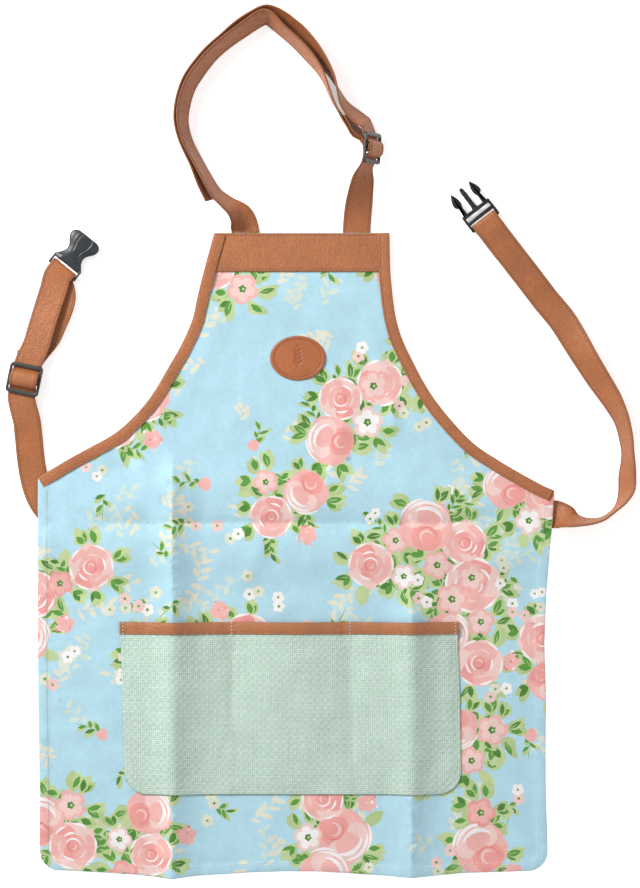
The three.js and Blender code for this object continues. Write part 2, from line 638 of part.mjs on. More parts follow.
const leftStrapY = 401.8;
const rightStrapY = 387.2;
const neckX = 6.9;
const neckSliderFrame = fittingFrame(neckX + 0.339 * neckReachAcross, bibTop + 0.373 * neckReachUp, 19.3, 3, -62);
const waistSliderFrame = fittingFrame(
  waistLeft - 0.048 * leftStrapReach, leftStrapY + 0.445 * leftStrapReach, 10.8, 11.8, 6,
);
const femaleFrame = fittingFrame(
  waistLeft + 0.09 * leftStrapReach, leftStrapY + 0.846 * leftStrapReach, 4.7, 38.6, 0,
);
const maleFrame = fittingFrame(
  waistRight - 0.207 * rightStrapReach, rightStrapY + 0.879 * rightStrapReach, 4.7, -37.4, 0,
);

const neckFixedStations = [
  ...route(neckFixed, neckX, bibTop, neckReachAcross, neckReachUp),
  ...threaded(neckSliderFrame, [...neckEntry, ...wrapLayer, ...neckExit]),
  ...route(neckReturn, neckX, bibTop, neckReachAcross, neckReachUp),
];
const neckRunningStations = [
  ...route(neckRunning, neckX, bibTop, neckReachAcross, neckReachUp),
  ...threaded(neckSliderFrame, [[-20, -6], [-16, -4], ...runningLayer, [16, -4], [20, -6]]),
  ...route(neckTail, neckX, bibTop, neckReachAcross, neckReachUp),
];
const leftStations = [
  ...route(leftLower, waistLeft, leftStrapY, leftStrapReach, leftStrapReach),
  ...threaded(waistSliderFrame, [[-19, -3.2], ...runningLayer, [19, -3.2]]),
  ...route(leftUpper, waistLeft, leftStrapY, leftStrapReach, leftStrapReach),
  ...threaded(femaleFrame, [[-8, 3.0], ...barWrap, [-7, -3.5]]),
  ...route(leftBack, waistLeft, leftStrapY, leftStrapReach, leftStrapReach),
  ...threaded(waistSliderFrame, [[22, -8.1], [12.5, -7.9], [9, -7.2], [6, -6], ...wrapLayer, [6.3, -3.7],
    [9, -4.9], [12.5, -5.5], [20, -5.7], [30, -5.8]]),
];
const rightStations = [
  ...route(rightRoute, waistRight, rightStrapY, rightStrapReach, rightStrapReach),
  ...threaded(maleFrame, [[-9, 3.0], ...barWrap, [-9, -3.3], [-24, -3.5], [-40, -3.55]]),
];

const badgeX = (298 - 295) * 1.08;
const badgeY = 556;
const badgeFrame = fittingFrame(badgeX, badgeY, 0, 0, 0);
for (let i = 0; i < 24; i += 1) {
  const angle = (i / 24) * 2 * Math.PI;
  const z = clothTopAt(badgeX + (badgeWidth / 2) * Math.cos(angle), badgeY + (badgeHeight / 2) * Math.sin(angle));
  badgeFrame.middle.z = Math.max(badgeFrame.middle.z, z + gap);
}

const leather = { color: 0xb97850, roughness: 0.7 };
const plastic = { color: 0x2e3236, roughness: 0.45 };
const parts = [
  ['main_panel', gridSolid(clothGrid, raised(clothGrid, clothThickness)), { color: 0xb9dff0, roughness: 0.9 }],
  ['top_band', topBand(), leather],
  ['left_binding', armholeBinding(leftArmhole, -1), leather],
  ['right_binding', armholeBinding(rightArmhole, 1), leather],
  ['pocket_panel', gridSolid(pocketGrid, raised(pocketGrid, clothThickness)), { color: 0xb4d9bf, roughness: 0.9 }],
  ['pocket_binding', pocketBinding(), leather],
  ['badge', badge(badgeFrame), leather],
  ['neck_strap_left', ribbon(neckFixedStations), leather],
  ['neck_strap_right', ribbon(neckRunningStations), leather],
  ['neck_slider', slider(neckSliderFrame), plastic],
  ['waist_strap_left', ribbon(leftStations), leather],
  ['waist_slider', slider(waistSliderFrame), plastic],
  ['female_buckle', femaleBuckle(femaleFrame), plastic],
  ['waist_strap_right', ribbon(rightStations), leather],
  ['male_buckle', maleBuckle(maleFrame), { color: 0x1e2023, roughness: 0.4 }],
];

// The part's origin is the middle of its footprint, on the table.
const group = new THREE.Group();
group.name = 'gardening_apron';
const bounds = new THREE.Box3();
for (const [name, geometry, look] of parts) {
  const mesh = new THREE.Mesh(geometry, new THREE.MeshStandardMaterial(look));
  mesh.name = name;
  geometry.computeVertexNormals();
  bounds.expandByObject(mesh);
  group.add(mesh);
}
const middle = bounds.getCenter(new THREE.Vector3());
for (const mesh of group.children) mesh.geometry.translate(-middle.x, -middle.y, -bounds.min.z);

export default group;
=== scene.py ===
# Gardening apron, lying face up and seen from straight above. Tables are in millimetres, +y towards the neck.
import math
import random

import bmesh
import bpy
import numpy as np
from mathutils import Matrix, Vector
from mathutils.geometry import delaunay_2d_cdt


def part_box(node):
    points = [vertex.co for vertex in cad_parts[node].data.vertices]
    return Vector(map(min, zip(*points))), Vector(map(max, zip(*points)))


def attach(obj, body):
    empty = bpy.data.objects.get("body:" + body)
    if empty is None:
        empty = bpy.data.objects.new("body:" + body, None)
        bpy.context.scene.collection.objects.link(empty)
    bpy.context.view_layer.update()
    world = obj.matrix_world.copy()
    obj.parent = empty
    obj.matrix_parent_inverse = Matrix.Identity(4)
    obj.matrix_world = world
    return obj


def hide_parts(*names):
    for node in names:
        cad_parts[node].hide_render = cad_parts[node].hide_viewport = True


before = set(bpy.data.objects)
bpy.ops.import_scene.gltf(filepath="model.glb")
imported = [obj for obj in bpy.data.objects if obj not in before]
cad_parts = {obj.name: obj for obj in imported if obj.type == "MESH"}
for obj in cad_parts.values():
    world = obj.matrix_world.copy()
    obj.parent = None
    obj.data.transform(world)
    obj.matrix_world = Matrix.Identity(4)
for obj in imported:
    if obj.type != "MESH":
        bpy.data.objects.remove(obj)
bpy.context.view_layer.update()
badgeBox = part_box("badge")
badgePlace = {"x": 3.24, "y": 556}
shiftX = (badgeBox[0][0] + badgeBox[1][0]) * 500 - badgePlace["x"]
shiftY = (badgeBox[0][1] + badgeBox[1][1]) * 500 - badgePlace["y"]


# camera, light, floor
cameraValues = {"lens": 135, "frameHeight": 0.959, "x": 0.0, "y": -0.0019, "farthest": 20}
floorValues = {"half": 6, "z": -0.0004, "paper": 0.95, "roughness": 0.9}
lightValues = {
    "keyAt": (-1.7, 1.35, 1.55), "keyPower": 84, "keySize": 0.9, "fillAt": (1.3, -0.6, 2.2), "fillPower": 12,
    "fillSize": 1.8, "world": 0.5, "exposureGain": 1.3, "floorGlow": 0.46,
}


def addLight(name, at, size, power):  # a round lamp that points at the middle of the table
    data = bpy.data.lights.new(name, "AREA")
    data.shape = "DISK"
    data.size = size
    data.energy = power
    light = bpy.data.objects.new(name, data)
    light.location = at
    light.rotation_euler = (Vector() - Vector(at)).to_track_quat("-Z", "Y").to_euler()
    bpy.context.collection.objects.link(light)


def linear(r, g, b):
    values = [v / 255 for v in (r, g, b)]
    return [v / 12.92 if v <= 0.04045 else ((v + 0.055) / 1.055) ** 2.4 for v in values]


def tone(r, g, b):  # colour as photographed, turned to what the cloth itself reflects
    return [v / lightValues["exposureGain"] for v in linear(r, g, b)] + [1.0]


def setStage():
    data = bpy.data.cameras.new("camera")
    data.lens = cameraValues["lens"]
    data.clip_end = cameraValues["farthest"]
    camera = bpy.data.objects.new("camera", data)
    distance = cameraValues["frameHeight"] * cameraValues["lens"] / data.sensor_width
    camera.location = (cameraValues["x"], cameraValues["y"], distance)
    bpy.context.collection.objects.link(camera)
    bpy.context.scene.camera = camera
    bpy.context.scene.view_settings.view_transform = "Standard"
    world = bpy.data.worlds.new("studio")
    world.use_nodes = True
    background = world.node_tree.nodes["Background"]
    background.inputs["Color"].default_value = (1, 1, 1, 1)
    background.inputs["Strength"].default_value = lightValues["world"]
    bpy.context.scene.world = world
    for name in ("key", "fill"):
        addLight(name, *(lightValues[name + part] for part in ("At", "Size", "Power")))
    mesh = bpy.data.meshes.new("floor")
    corners = [(sx * floorValues["half"], sy * floorValues["half"], floorValues["z"])
               for sx, sy in ((-1, -1), (1, -1), (1, 1), (-1, 1))]
    mesh.from_pydata(corners, [], [(0, 1, 2, 3)])
    floor = bpy.data.objects.new("floor", mesh)
    material = bpy.data.materials.new("floor_paper")
    material.use_nodes = True
    shader = material.node_tree.nodes["Principled BSDF"]
    shader.inputs["Base Color"].default_value = (*[floorValues["paper"]] * 3, 1)
    shader.inputs["Roughness"].default_value = floorValues["roughness"]
    shader.inputs["Emission Color"].default_value = (1, 1, 1, 1)
    shader.inputs["Emission Strength"].default_value = lightValues["floorGlow"]  # keeps the paper white under the straps
    mesh.materials.append(material)
    bpy.context.collection.objects.link(floor)
    print("stage set")


setStage()

# the apron's lines, as in its solids
panelSize = {
    "bibTop": 691, "bibWidth": 189, "bibCentre": 7.4, "waistWidth": 557, "waistCentre": 1.3,
    "leftWaist": 427.5, "rightWaist": 413, "cornerRadius": 20, "thickness": 1.2, "hemReach": 80, "hemMargin": 8,
}
strapLiftValues = {"rise": 2.6, "low": 560, "high": 628, "near": 25, "far": 60}
bibTop = panelSize["bibTop"]
bibLeft = panelSize["bibCentre"] - panelSize["bibWidth"] / 2
bibRight = panelSize["bibCentre"] + panelSize["bibWidth"] / 2
waistLeft = panelSize["waistCentre"] - panelSize["waistWidth"] / 2
waistRight = panelSize["waistCentre"] + panelSize["waistWidth"] / 2
edgeInset = 1.3
leatherGap = 0.3

leftArmholeShares = [
    (0, 0), (0.049, 0.128), (0.095, 0.26), (0.125, 0.355), (0.182, 0.45), (0.257, 0.546),
    (0.354, 0.663), (0.446, 0.744), (0.558, 0.817), (0.7, 0.876), (0.812, 0.92), (0.924, 0.968), (1, 1),
]
rightArmholeShares = [
    (0, 0), (0.01, 0.186), (0.055, 0.371), (0.156, 0.518), (0.253, 0.627), (0.374, 0.727),
    (0.514, 0.819), (0.66, 0.882), (0.803, 0.936), (0.93, 0.98), (1, 1),
]
leftSide = [(0, -1.6), (0.1, -1.6), (0.26, -1.2), (0.4, -0.2), (0.6, 0.5), (1, 0)]
rightSide = [
    (0, -7.2), (0.1, -7.6), (0.19, -9), (0.32, -9.4), (0.46, -8.8), (0.6, -10.6),
    (0.72, -8.8), (0.84, -5.2), (0.91, -2.2), (1, 0),
]
hemWave = [
    (0, 4.6), (0.07, 2.6), (0.15, 0.2), (0.2, -1.8), (0.262, -5.2), (0.31, -2.6), (0.36, -1.1),
    (0.42, 1.1), (0.49, 2.2), (0.55, 2), (0.61, 0), (0.67, -2), (0.735, -4.3), (0.78, -2.6),
    (0.83, 0), (0.9, 1.4), (0.96, 2.4), (1, 3.6),
]
# from x, y to x, y, rise, reach left, reach right, fade in, fade out
folds = [
    (-132, -20, -132, 475, 11.5, 28, 36, 1, 60), (125.5, -20, 126, 330, 9.5, 32, 32, 1, 60),
    (106, 462, 106, 585, 2.6, 14, 12, 25, 25), (-184, 466, -137, 398, 6.0, 18, 20, 14, 22),
    (180, 452, 276, 392, 6.4, 22, 26, 22, 18), (-265, 338, -265, 418, 2.4, 10, 12, 22, 18),
    (30, 402, 60, 520, 2.2, 22, 22, 40, 50), (-60, 300, -30, 372, 2.2, 24, 24, 30, 30),
]
waistCrease = {"y": 378, "rise": 4.0, "reach": 26}
bindingLift = [(0, 1.3), (3 / 14, 1.3), (5 / 14, 0), (10 / 14, 0), (13 / 14, 2.5), (1, 2.5)]
strapEnds = [((-250, 376), (-277, 404)), ((232, 387.5), (281, 387.5))]
fineWrinkles = {"rise": 0.32, "longest": 70, "shortest": 16, "count": 26, "seed": 11}


def pairs(x, y):
    return np.stack([x, y], axis=1)


def smooth(low, high, value):
    t = np.clip((value - low) / (high - low), 0, 1)
    return t * t * (3 - 2 * t)


def fromTable(table, share):
    return np.interp(share, [row[0] for row in table], [row[1] for row in table])


def nearestOn(line, x, y):  # distance to a line, and the share of its length there
    x, y = np.asarray(x, float), np.asarray(y, float)
    best, share = np.full(x.shape, 1e9), np.zeros(x.shape)
    for i in range(1, len(line)):
        (ax, ay), (bx, by) = line[i - 1], line[i]
        dx, dy = bx - ax, by - ay
        t = np.clip(((x - ax) * dx + (y - ay) * dy) / max(dx * dx + dy * dy, 1e-9), 0, 1)
        distance = np.hypot(x - ax - dx * t, y - ay - dy * t)
        closer = distance < best
        best = np.where(closer, distance, best)
        share = np.where(closer, (i - 1 + t) / (len(line) - 1), share)
    return best, share


def throughPoints(points, steps):  # centripetal curve through points, with the numbers they carry
    rows = [np.array(p, float) for p in points]
    out = []
    for i in range(len(rows) - 1):
        b, c = rows[i], rows[i + 1]
        a = rows[i - 1] if i else 2 * b - c
        d = rows[i + 2] if i + 2 < len(rows) else 2 * c - b
        count = steps(b, c) if callable(steps) else steps
        knots = [0.0]
        for p, q in ((a, b), (b, c), (c, d)):
            knots.append(knots[-1] + max(math.sqrt(float(np.linalg.norm((q - p)[:3]))), 1e-4))
        t0, t1, t2, t3 = knots
        for k in range(count):
            t = t1 + (t2 - t1) * k / count
            e = a * (t1 - t) / (t1 - t0) + b * (t - t0) / (t1 - t0)
            f = b * (t2 - t) / (t2 - t1) + c * (t - t1) / (t2 - t1)
            g = c * (t3 - t) / (t3 - t2) + d * (t - t2) / (t3 - t2)
            h = e * (t2 - t) / (t2 - t0) + f * (t - t0) / (t2 - t0)
            m = f * (t3 - t) / (t3 - t1) + g * (t - t1) / (t3 - t1)
            out.append(h * (t2 - t) / (t2 - t1) + m * (t - t1) / (t2 - t1))
    out.append(rows[-1])
    return np.array(out)


def evenly(points, count):  # the same line in equal steps
    points = np.asarray(points, float)
    lengths = np.r_[0, np.cumsum(np.linalg.norm(np.diff(points, axis=0), axis=1))]
    at = np.linspace(0, lengths[-1], count + 1)
    return np.stack([np.interp(at, lengths, points[:, k]) for k in range(points.shape[1])], axis=1)


def offsetLine(line, distance):  # moved to the right of its own direction
    ahead = np.gradient(line, axis=0)
    ahead /= np.linalg.norm(ahead, axis=1)[:, None]
    return line + pairs(ahead[:, 1], -ahead[:, 0]) * distance


def armhole(shares, top, bottom):
    line = [(top[0] + (bottom[0] - top[0]) * out, top[1] + (bottom[1] - top[1]) * down) for out, down in shares]
    return evenly(throughPoints([(x, y, 0) for x, y in line], 20)[:, :2], 112)


leftArmhole = armhole(leftArmholeShares, (bibLeft, bibTop), (waistLeft, panelSize["leftWaist"]))
rightArmhole = armhole(rightArmholeShares, (bibRight, bibTop), (waistRight, panelSize["rightWaist"]))


def anyTurn(chance):
    return chance.uniform(0, 6.28)


def wrinkles(x, y):
    v = fineWrinkles
    chance = random.Random(v["seed"])
    height = np.zeros(np.shape(x))
    for _ in range(v["count"]):
        size = v["shortest"] * (v["longest"] / v["shortest"]) ** chance.random()
        angle, phase = chance.uniform(0, math.pi), anyTurn(chance)
        bend, bendPhase = chance.uniform(0.5, 1.6), anyTurn(chance)
        along = (x * math.cos(angle) + y * math.sin(angle)) / size
        across = (y * math.cos(angle) - x * math.sin(angle)) / size
        height = height + (size / v["longest"]) ** 0.8 * np.sin(
            2 * math.pi * along + phase + bend * np.sin(across * 1.7 + bendPhase))
    return height * v["rise"] / math.sqrt(v["count"]) * 2.2


def strapLift(x, y):
    v = strapLiftValues
    lift = v["rise"] * smooth(v["low"], v["high"], y)
    for end in strapEnds:
        lift = np.maximum(lift, v["rise"] * (1 - smooth(v["near"], v["far"], nearestOn(end, x, y)[0])))
    return lift


def foldHeight(x, y):
    height = np.zeros(np.shape(x))
    for x0, y0, x1, y1, rise, leftReach, rightReach, fadeIn, fadeOut in folds:
        dx, dy = x1 - x0, y1 - y0
        length = math.hypot(dx, dy)
        along = ((x - x0) * dx + (y - y0) * dy) / length
        side = ((x - x0) * dy - (y - y0) * dx) / length
        fade = smooth(0, fadeIn, along) * (1 - smooth(length - fadeOut, length, along))
        share = np.minimum(1, np.abs(side) / np.where(side < 0, leftReach, rightReach))
        height = height + rise * fade * (1 - share) ** 1.7
    away = np.abs(y - waistCrease["y"]) / waistCrease["reach"]
    return height + waistCrease["rise"] * away * np.exp(1 - away) * (1 - smooth(1.4, 3, away))


def clothTop(x, y, fine=1.0):  # height of the printed cloth's face
    x, y = np.asarray(x, float), np.asarray(y, float)
    leftAway, leftShare = nearestOn(leftArmhole, x, y)
    rightAway, rightShare = nearestOn(rightArmhole, x, y)
    away = np.minimum(leftAway, rightAway)
    share = np.where(leftAway < rightAway, leftShare, rightShare)
    atBinding = edgeInset + fromTable(bindingLift, share)
    free = np.maximum(foldHeight(x, y) * smooth(18, 50, away), strapLift(x, y))
    height = free + (atBinding - free) * (1 - smooth(19, 46, away))
    ripple = (wrinkles(x, y) + 0.45) * smooth(13, 34, away) * (1 - smooth(618, 645, y))
    return height + panelSize["thickness"] + fine * np.maximum(ripple, -0.15)


def place(x, y, z):  # from the tables' millimetres to the model
    return np.stack([(np.asarray(x) + shiftX) / 1000, (np.asarray(y) + shiftY) / 1000, np.asarray(z) / 1000], axis=-1)


def sideX(table, side, y, waist):
    radius = panelSize["cornerRadius"]
    inset = np.clip(radius - np.sqrt(np.maximum(0, radius ** 2 - (radius - np.minimum(radius, y)) ** 2)), 0, radius)
    edge = fromTable(table, np.asarray(y) / waist)
    return waistLeft - edge + inset if side < 0 else waistRight + edge - inset


def hemRise(x, y):
    share = (x - waistLeft) / (panelSize["waistWidth"] - panelSize["hemMargin"])
    return fromTable(hemWave, share) * (1 - smooth(0, panelSize["hemReach"], y))


def apronOutline():
    corner = panelSize["cornerRadius"] * (1 - np.cos(np.linspace(0, math.pi / 2, 10)))
    ys = np.r_[corner, np.linspace(24, 400, 95), np.linspace(404, 427, 7)]
    leftYs, rightYs = ys[ys < panelSize["leftWaist"] - 2], ys[ys < panelSize["rightWaist"] - 2]
    leftX = sideX(leftSide, -1, leftYs, panelSize["leftWaist"])
    rightX = sideX(rightSide, 1, rightYs, panelSize["rightWaist"])
    left = pairs(leftX, leftYs + hemRise(leftX, leftYs))
    right = pairs(rightX, rightYs + hemRise(rightX, rightYs))
    hemX = np.linspace(left[0, 0], right[0, 0], 130)[1:-1]
    hem = pairs(hemX, hemRise(hemX, 0 * hemX))
    innerLeft, innerRight = offsetLine(leftArmhole, -edgeInset), offsetLine(rightArmhole, edgeInset)
    topX = np.linspace(innerRight[0, 0], innerLeft[0, 0], 42)[1:-1]
    top = pairs(topX, 0 * topX + bibTop)
    return {"hem": hem, "right": right, "rightArmhole": innerRight[::-1], "top": top,
            "leftArmhole": innerLeft, "left": left[::-1]}


outlineParts = apronOutline()
outline = np.concatenate(list(outlineParts.values()))
closedOutline = np.concatenate([outline, outline[:1]])
hemLine = np.concatenate([outlineParts["left"], outlineParts["hem"], outlineParts["right"]])


def insideOf(polygon, x, y):  # by how often a line to one side crosses the outline
    result = np.zeros(np.shape(x), bool)
    j = len(polygon) - 1
    for i in range(len(polygon)):
        (xi, yi), (xj, yj) = polygon[i], polygon[j]
        if yi != yj:
            crosses = ((yi > y) != (yj > y)) & (x < (xj - xi) * (y - yi) / (yj - yi) + xi)
            result ^= crosses
        j = i
    return result


# meshes
def meshObject(name, verts, faces, material):
    mesh = bpy.data.meshes.new(name)
    mesh.from_pydata([tuple(v) for v in verts], [], faces)
    mesh.validate()
    work = bmesh.new()
    work.from_mesh(mesh)
    bmesh.ops.recalc_face_normals(work, faces=work.faces)
    work.to_mesh(mesh)
    work.free()
    mesh.polygons.foreach_set("use_smooth", [True] * len(mesh.polygons))
    mesh.materials.append(material)
    made = bpy.data.objects.new(name, mesh)
    bpy.context.collection.objects.link(made)
    return made


def ringLoft(rings):  # faces between rings of points, with flat caps
    count = len(rings[0])
    verts = [tuple(p) for ring in rings for p in ring]
    faces = []
    for i in range(1, len(rings)):
        for j in range(count):
            k = (j + 1) % count
            faces.append(((i - 1) * count + j, (i - 1) * count + k, i * count + k, i * count + j))
    last = (len(rings) - 1) * count
    faces.append(tuple(range(count))[::-1])
    faces.append(tuple(last + j for j in range(count)))
    return verts, faces


def sheetMesh(xs, ys, zs, thickness):  # closed sheet under a grid of points, its rim rounded
    rows, across = xs.shape
    rim = np.zeros((rows, across))
    rim[0, :] = rim[-1, :] = 1
    rim[:, 0] = rim[:, -1] = 1
    top = place(xs, ys, zs - rim * thickness * 0.3).reshape(-1, 3)
    bottom = place(xs, ys, zs - thickness + rim * thickness * 0.3).reshape(-1, 3)
    total = rows * across
    faces = []
    for i in range(1, rows):
        for j in range(1, across):
            a, b = (i - 1) * across + j - 1, (i - 1) * across + j
            c, d = i * across + j, i * across + j - 1
            faces.append((a, b, c, d))
            faces.append((total + a, total + d, total + c, total + b))
    edge = [*range(across), *(i * across + across - 1 for i in range(1, rows))]
    edge += [*((rows - 1) * across + j for j in range(across - 2, -1, -1)), *(i * across for i in range(rows - 2, 0, -1))]
    for k, a in enumerate(edge):
        b = edge[(k + 1) % len(edge)]
        faces.append((a, b, total + b, total + a))
    return np.concatenate([top, bottom]), faces


def addFloat(mesh, name, values):
    mesh.attributes.new(name, "FLOAT", "POINT").data.foreach_set("value", np.asarray(values, np.float32))


# materials
def newMaterial(name, roughness, **sockets):
    material = bpy.data.materials.new(name)
    material.use_nodes = True
    shader = material.node_tree.nodes["Principled BSDF"]
    shader.inputs["Roughness"].default_value = roughness
    for socket, value in sockets.items():
        shader.inputs[socket.replace("_", " ")].default_value = value
    return material, material.node_tree, shader


def addNode(tree, kind, links=None, **values):
    node = tree.nodes.new(kind)
    for key, value in values.items():
        setattr(node, key, value)
    for socket, source in (links or {}).items():
        if isinstance(source, (int, float, tuple, list)):
            node.inputs[socket].default_value = source
        else:
            tree.links.new(source, node.inputs[socket])
    return node


def objectCoords(tree, scale=(1, 1, 1)):
    coords = addNode(tree, "ShaderNodeTexCoord")
    return addNode(tree, "ShaderNodeMapping", {"Vector": coords.outputs["Object"], "Scale": scale}).outputs[0]


def noiseOf(tree, coords, scale, detail=3.0, rough=0.55):
    return addNode(tree, "ShaderNodeTexNoise", {
        "Vector": coords, "Scale": scale, "Detail": detail, "Roughness": rough}).outputs["Fac"]


def mathOf(tree, operation, a, b=0.0, clamp=False):
    return addNode(tree, "ShaderNodeMath", {0: a, 1: b}, operation=operation, use_clamp=clamp).outputs[0]


def spread(tree, value, low, high, toLow=0.0, toHigh=1.0):
    return addNode(tree, "ShaderNodeMapRange", {
        "Value": value, "From Min": low, "From Max": high, "To Min": toLow, "To Max": toHigh}).outputs[0]


def mixColour(tree, factor, a, b, blend="MIX"):
    return addNode(tree, "ShaderNodeMix", {0: factor, 6: a, 7: b}, data_type="RGBA", blend_type=blend).outputs[2]


def shaded(base, share):
    return [c * share for c in base[:3]] + [1]


def bumpOf(tree, shader, height, strength, distance):
    bump = addNode(tree, "ShaderNodeBump", {"Height": height, "Strength": strength, "Distance": distance})
    tree.links.new(bump.outputs[0], shader.inputs["Normal"])


leatherValues = {
    "patchScale": 30, "dark": 0.84, "light": 1.12, "bendScale": 260.0, "bend": 0.0022, "pebbleScale": 430.0,
    "fleckScale": 420, "creaseScale": (150, 60, 100), "roughness": 0.58, "depth": 0.0007,
}


def leatherMaterial(name, colour, grain=0.5):
    v = leatherValues
    material, tree, shader = newMaterial(name, v["roughness"])
    coords = objectCoords(tree)
    base = tone(*colour)
    patches = spread(tree, noiseOf(tree, coords, v["patchScale"], 4), 0.3, 0.7)
    whole = mixColour(tree, patches, shaded(base, v["dark"]), shaded(base, v["light"]))
    noise = addNode(tree, "ShaderNodeTexNoise", {"Vector": coords, "Scale": v["bendScale"]}).outputs["Color"]
    aside = addNode(tree, "ShaderNodeVectorMath", {0: noise, 1: (v["bend"],) * 3}, operation="MULTIPLY").outputs[0]
    bent = addNode(tree, "ShaderNodeVectorMath", {0: coords, 1: aside}, operation="ADD").outputs[0]
    pebble = addNode(tree, "ShaderNodeTexVoronoi", {"Vector": bent, "Scale": v["pebbleScale"]}).outputs["Distance"]
    pits = spread(tree, pebble, 0.32, 0.72)
    flecks = spread(tree, noiseOf(tree, coords, v["fleckScale"], 3, 0.7), 0.36, 0.64)
    creases = spread(tree, noiseOf(tree, objectCoords(tree, v["creaseScale"]), 1, 4, 0.7), 0.4, 0.66)
    whole = mixColour(tree, mathOf(tree, "MULTIPLY", pits, 0.6 * grain), whole, shaded(base, 0.6))
    whole = mixColour(tree, mathOf(tree, "MULTIPLY", creases, 0.3), whole, shaded(base, 0.68))
    whole = mixColour(tree, mathOf(tree, "MULTIPLY", flecks, 0.3), whole, shaded(base, 0.7))
    # darker rims, and painted shade in the stitch grooves and pressed hollows, from the edge attribute
    edge = addNode(tree, "ShaderNodeAttribute", attribute_name="edge").outputs["Fac"]
    whole = mixColour(tree, mathOf(tree, "MULTIPLY", edge, 0.6), whole, shaded(base, 0.5))
    tree.links.new(whole, shader.inputs["Base Color"])
    height = mathOf(tree, "SUBTRACT", mathOf(tree, "MULTIPLY", flecks, -0.35), pits)
    height = mathOf(tree, "SUBTRACT", height, mathOf(tree, "MULTIPLY", creases, 0.8))
    bumpOf(tree, shader, height, 0.6 * grain, v["depth"])
    tree.links.new(spread(tree, pits, 0, 1, 0.46, 0.68), shader.inputs["Roughness"])
    return material


def printedMaterial():
    material, tree, shader = newMaterial("print_cloth", 0.9, Specular_IOR_Level=0.25)
    coords = objectCoords(tree)
    colour = addNode(tree, "ShaderNodeAttribute", attribute_name="print").outputs["Color"]
    brush = spread(tree, noiseOf(tree, coords, 190, 3), 0.25, 0.75, 0.95, 1.04)
    wash = spread(tree, noiseOf(tree, coords, 34, 2), 0.3, 0.7, 0.96, 1.03)
    value = mathOf(tree, "MULTIPLY", brush, wash)
    whole = mixColour(tree, 1.0, colour, addNode(tree, "ShaderNodeCombineColor", {
        "Red": value, "Green": value, "Blue": value}).outputs[0], "MULTIPLY")
    tree.links.new(whole, shader.inputs["Base Color"])
    warp = noiseOf(tree, objectCoords(tree, (1500, 130, 1)), 1, 1)
    weft = noiseOf(tree, objectCoords(tree, (130, 1500, 1)), 1, 1)
    bumpOf(tree, shader, mathOf(tree, "ADD", warp, weft), 0.3, 0.0004)
    return material


# the last colour is painted shade for the gaps between threads
weaveValues = {"pitch": 2.05, "light": (224, 242, 230), "dark": (190, 217, 201), "gapShade": (150, 183, 164), "openness": 0.34}


def meshClothMaterial():  # plain weave of uneven threads, with small gaps between them, painted highlight and shade at the crossings and painted shade in the gaps
    material, tree, shader = newMaterial("mesh_cloth", 0.92, Specular_IOR_Level=0.2)
    size = 1000 / weaveValues["pitch"]
    flat = addNode(tree, "ShaderNodeSeparateXYZ", {0: objectCoords(tree, (size, size, size))})
    wobble = noiseOf(tree, objectCoords(tree), 90, 2)
    across = mathOf(tree, "ADD", flat.outputs[0], mathOf(tree, "MULTIPLY", wobble, 0.9))
    along = mathOf(tree, "ADD", flat.outputs[1], mathOf(tree, "MULTIPLY", wobble, 0.7))
    waves = [mathOf(tree, "SINE", mathOf(tree, "MULTIPLY", value, turn))
             for turn in (math.pi, math.pi / 2) for value in (across, along)]
    warp, weft = (mathOf(tree, "ABSOLUTE", wave) for wave in waves[:2])
    # painted highlight and shade, alternating over the thread crossings
    over = mathOf(tree, "MULTIPLY", *waves[2:])
    streakUp = noiseOf(tree, objectCoords(tree, (480, 26, 1)), 1, 2, 0.7)
    streakOver = noiseOf(tree, objectCoords(tree, (26, 480, 1)), 1, 2, 0.7)
    streak = mathOf(tree, "ADD", streakUp, streakOver)
    thread = mathOf(tree, "MAXIMUM", warp, weft)
    shade = mathOf(tree, "ADD", spread(tree, streak, 0.7, 1.3, 0.0, 0.75), spread(tree, over, -1, 1, -0.15, 0.35), True)
    whole = mixColour(tree, shade, tone(*weaveValues["light"]), tone(*weaveValues["dark"]))
    gaps = spread(tree, thread, 0.3, 0.85, 0.75, 0.0)
    # painted shade in the gaps between threads, over the cloth that shows through them
    whole = mixColour(tree, gaps, whole, tone(*weaveValues["gapShade"]))
    tree.links.new(whole, shader.inputs["Base Color"])
    height = mathOf(tree, "ADD", mathOf(tree, "MULTIPLY", over, 0.5), mathOf(tree, "ADD", thread, streak))
    bumpOf(tree, shader, height, 0.5, 0.0006)
    openness = mathOf(tree, "MULTIPLY", gaps, weaveValues["openness"])
    tree.links.new(mathOf(tree, "SUBTRACT", 1.0, openness, True), shader.inputs["Alpha"])
    return material


def threadMaterial(name, colour):
    material, tree, shader = newMaterial(name, 0.7)
    twist = addNode(tree, "ShaderNodeTexWave", {
        "Vector": objectCoords(tree), "Scale": 900.0, "Distortion": 1.0}).outputs["Fac"]
    base = tone(*colour)
    tree.links.new(mixColour(tree, twist, base, shaded(base, 0.75)), shader.inputs["Base Color"])
    bumpOf(tree, shader, twist, 0.4, 0.0002)
    return material


def plasticMaterial(name, colour, roughness):
    material, tree, shader = newMaterial(name, roughness)
    coords = objectCoords(tree)
    base = tone(*colour)
    soft = spread(tree, noiseOf(tree, coords, 60, 3), 0.3, 0.7)
    tree.links.new(mixColour(tree, soft, shaded(base, 0.85), shaded(base, 1.15)), shader.inputs["Base Color"])
    specks = noiseOf(tree, coords, 1800, 2)
    tree.links.new(spread(tree, noiseOf(tree, coords, 90, 3), 0.3, 0.7, roughness - 0.07, roughness + 0.09),
                   shader.inputs["Roughness"])
    bumpOf(tree, shader, specks, 0.12, 0.0002)
    return material


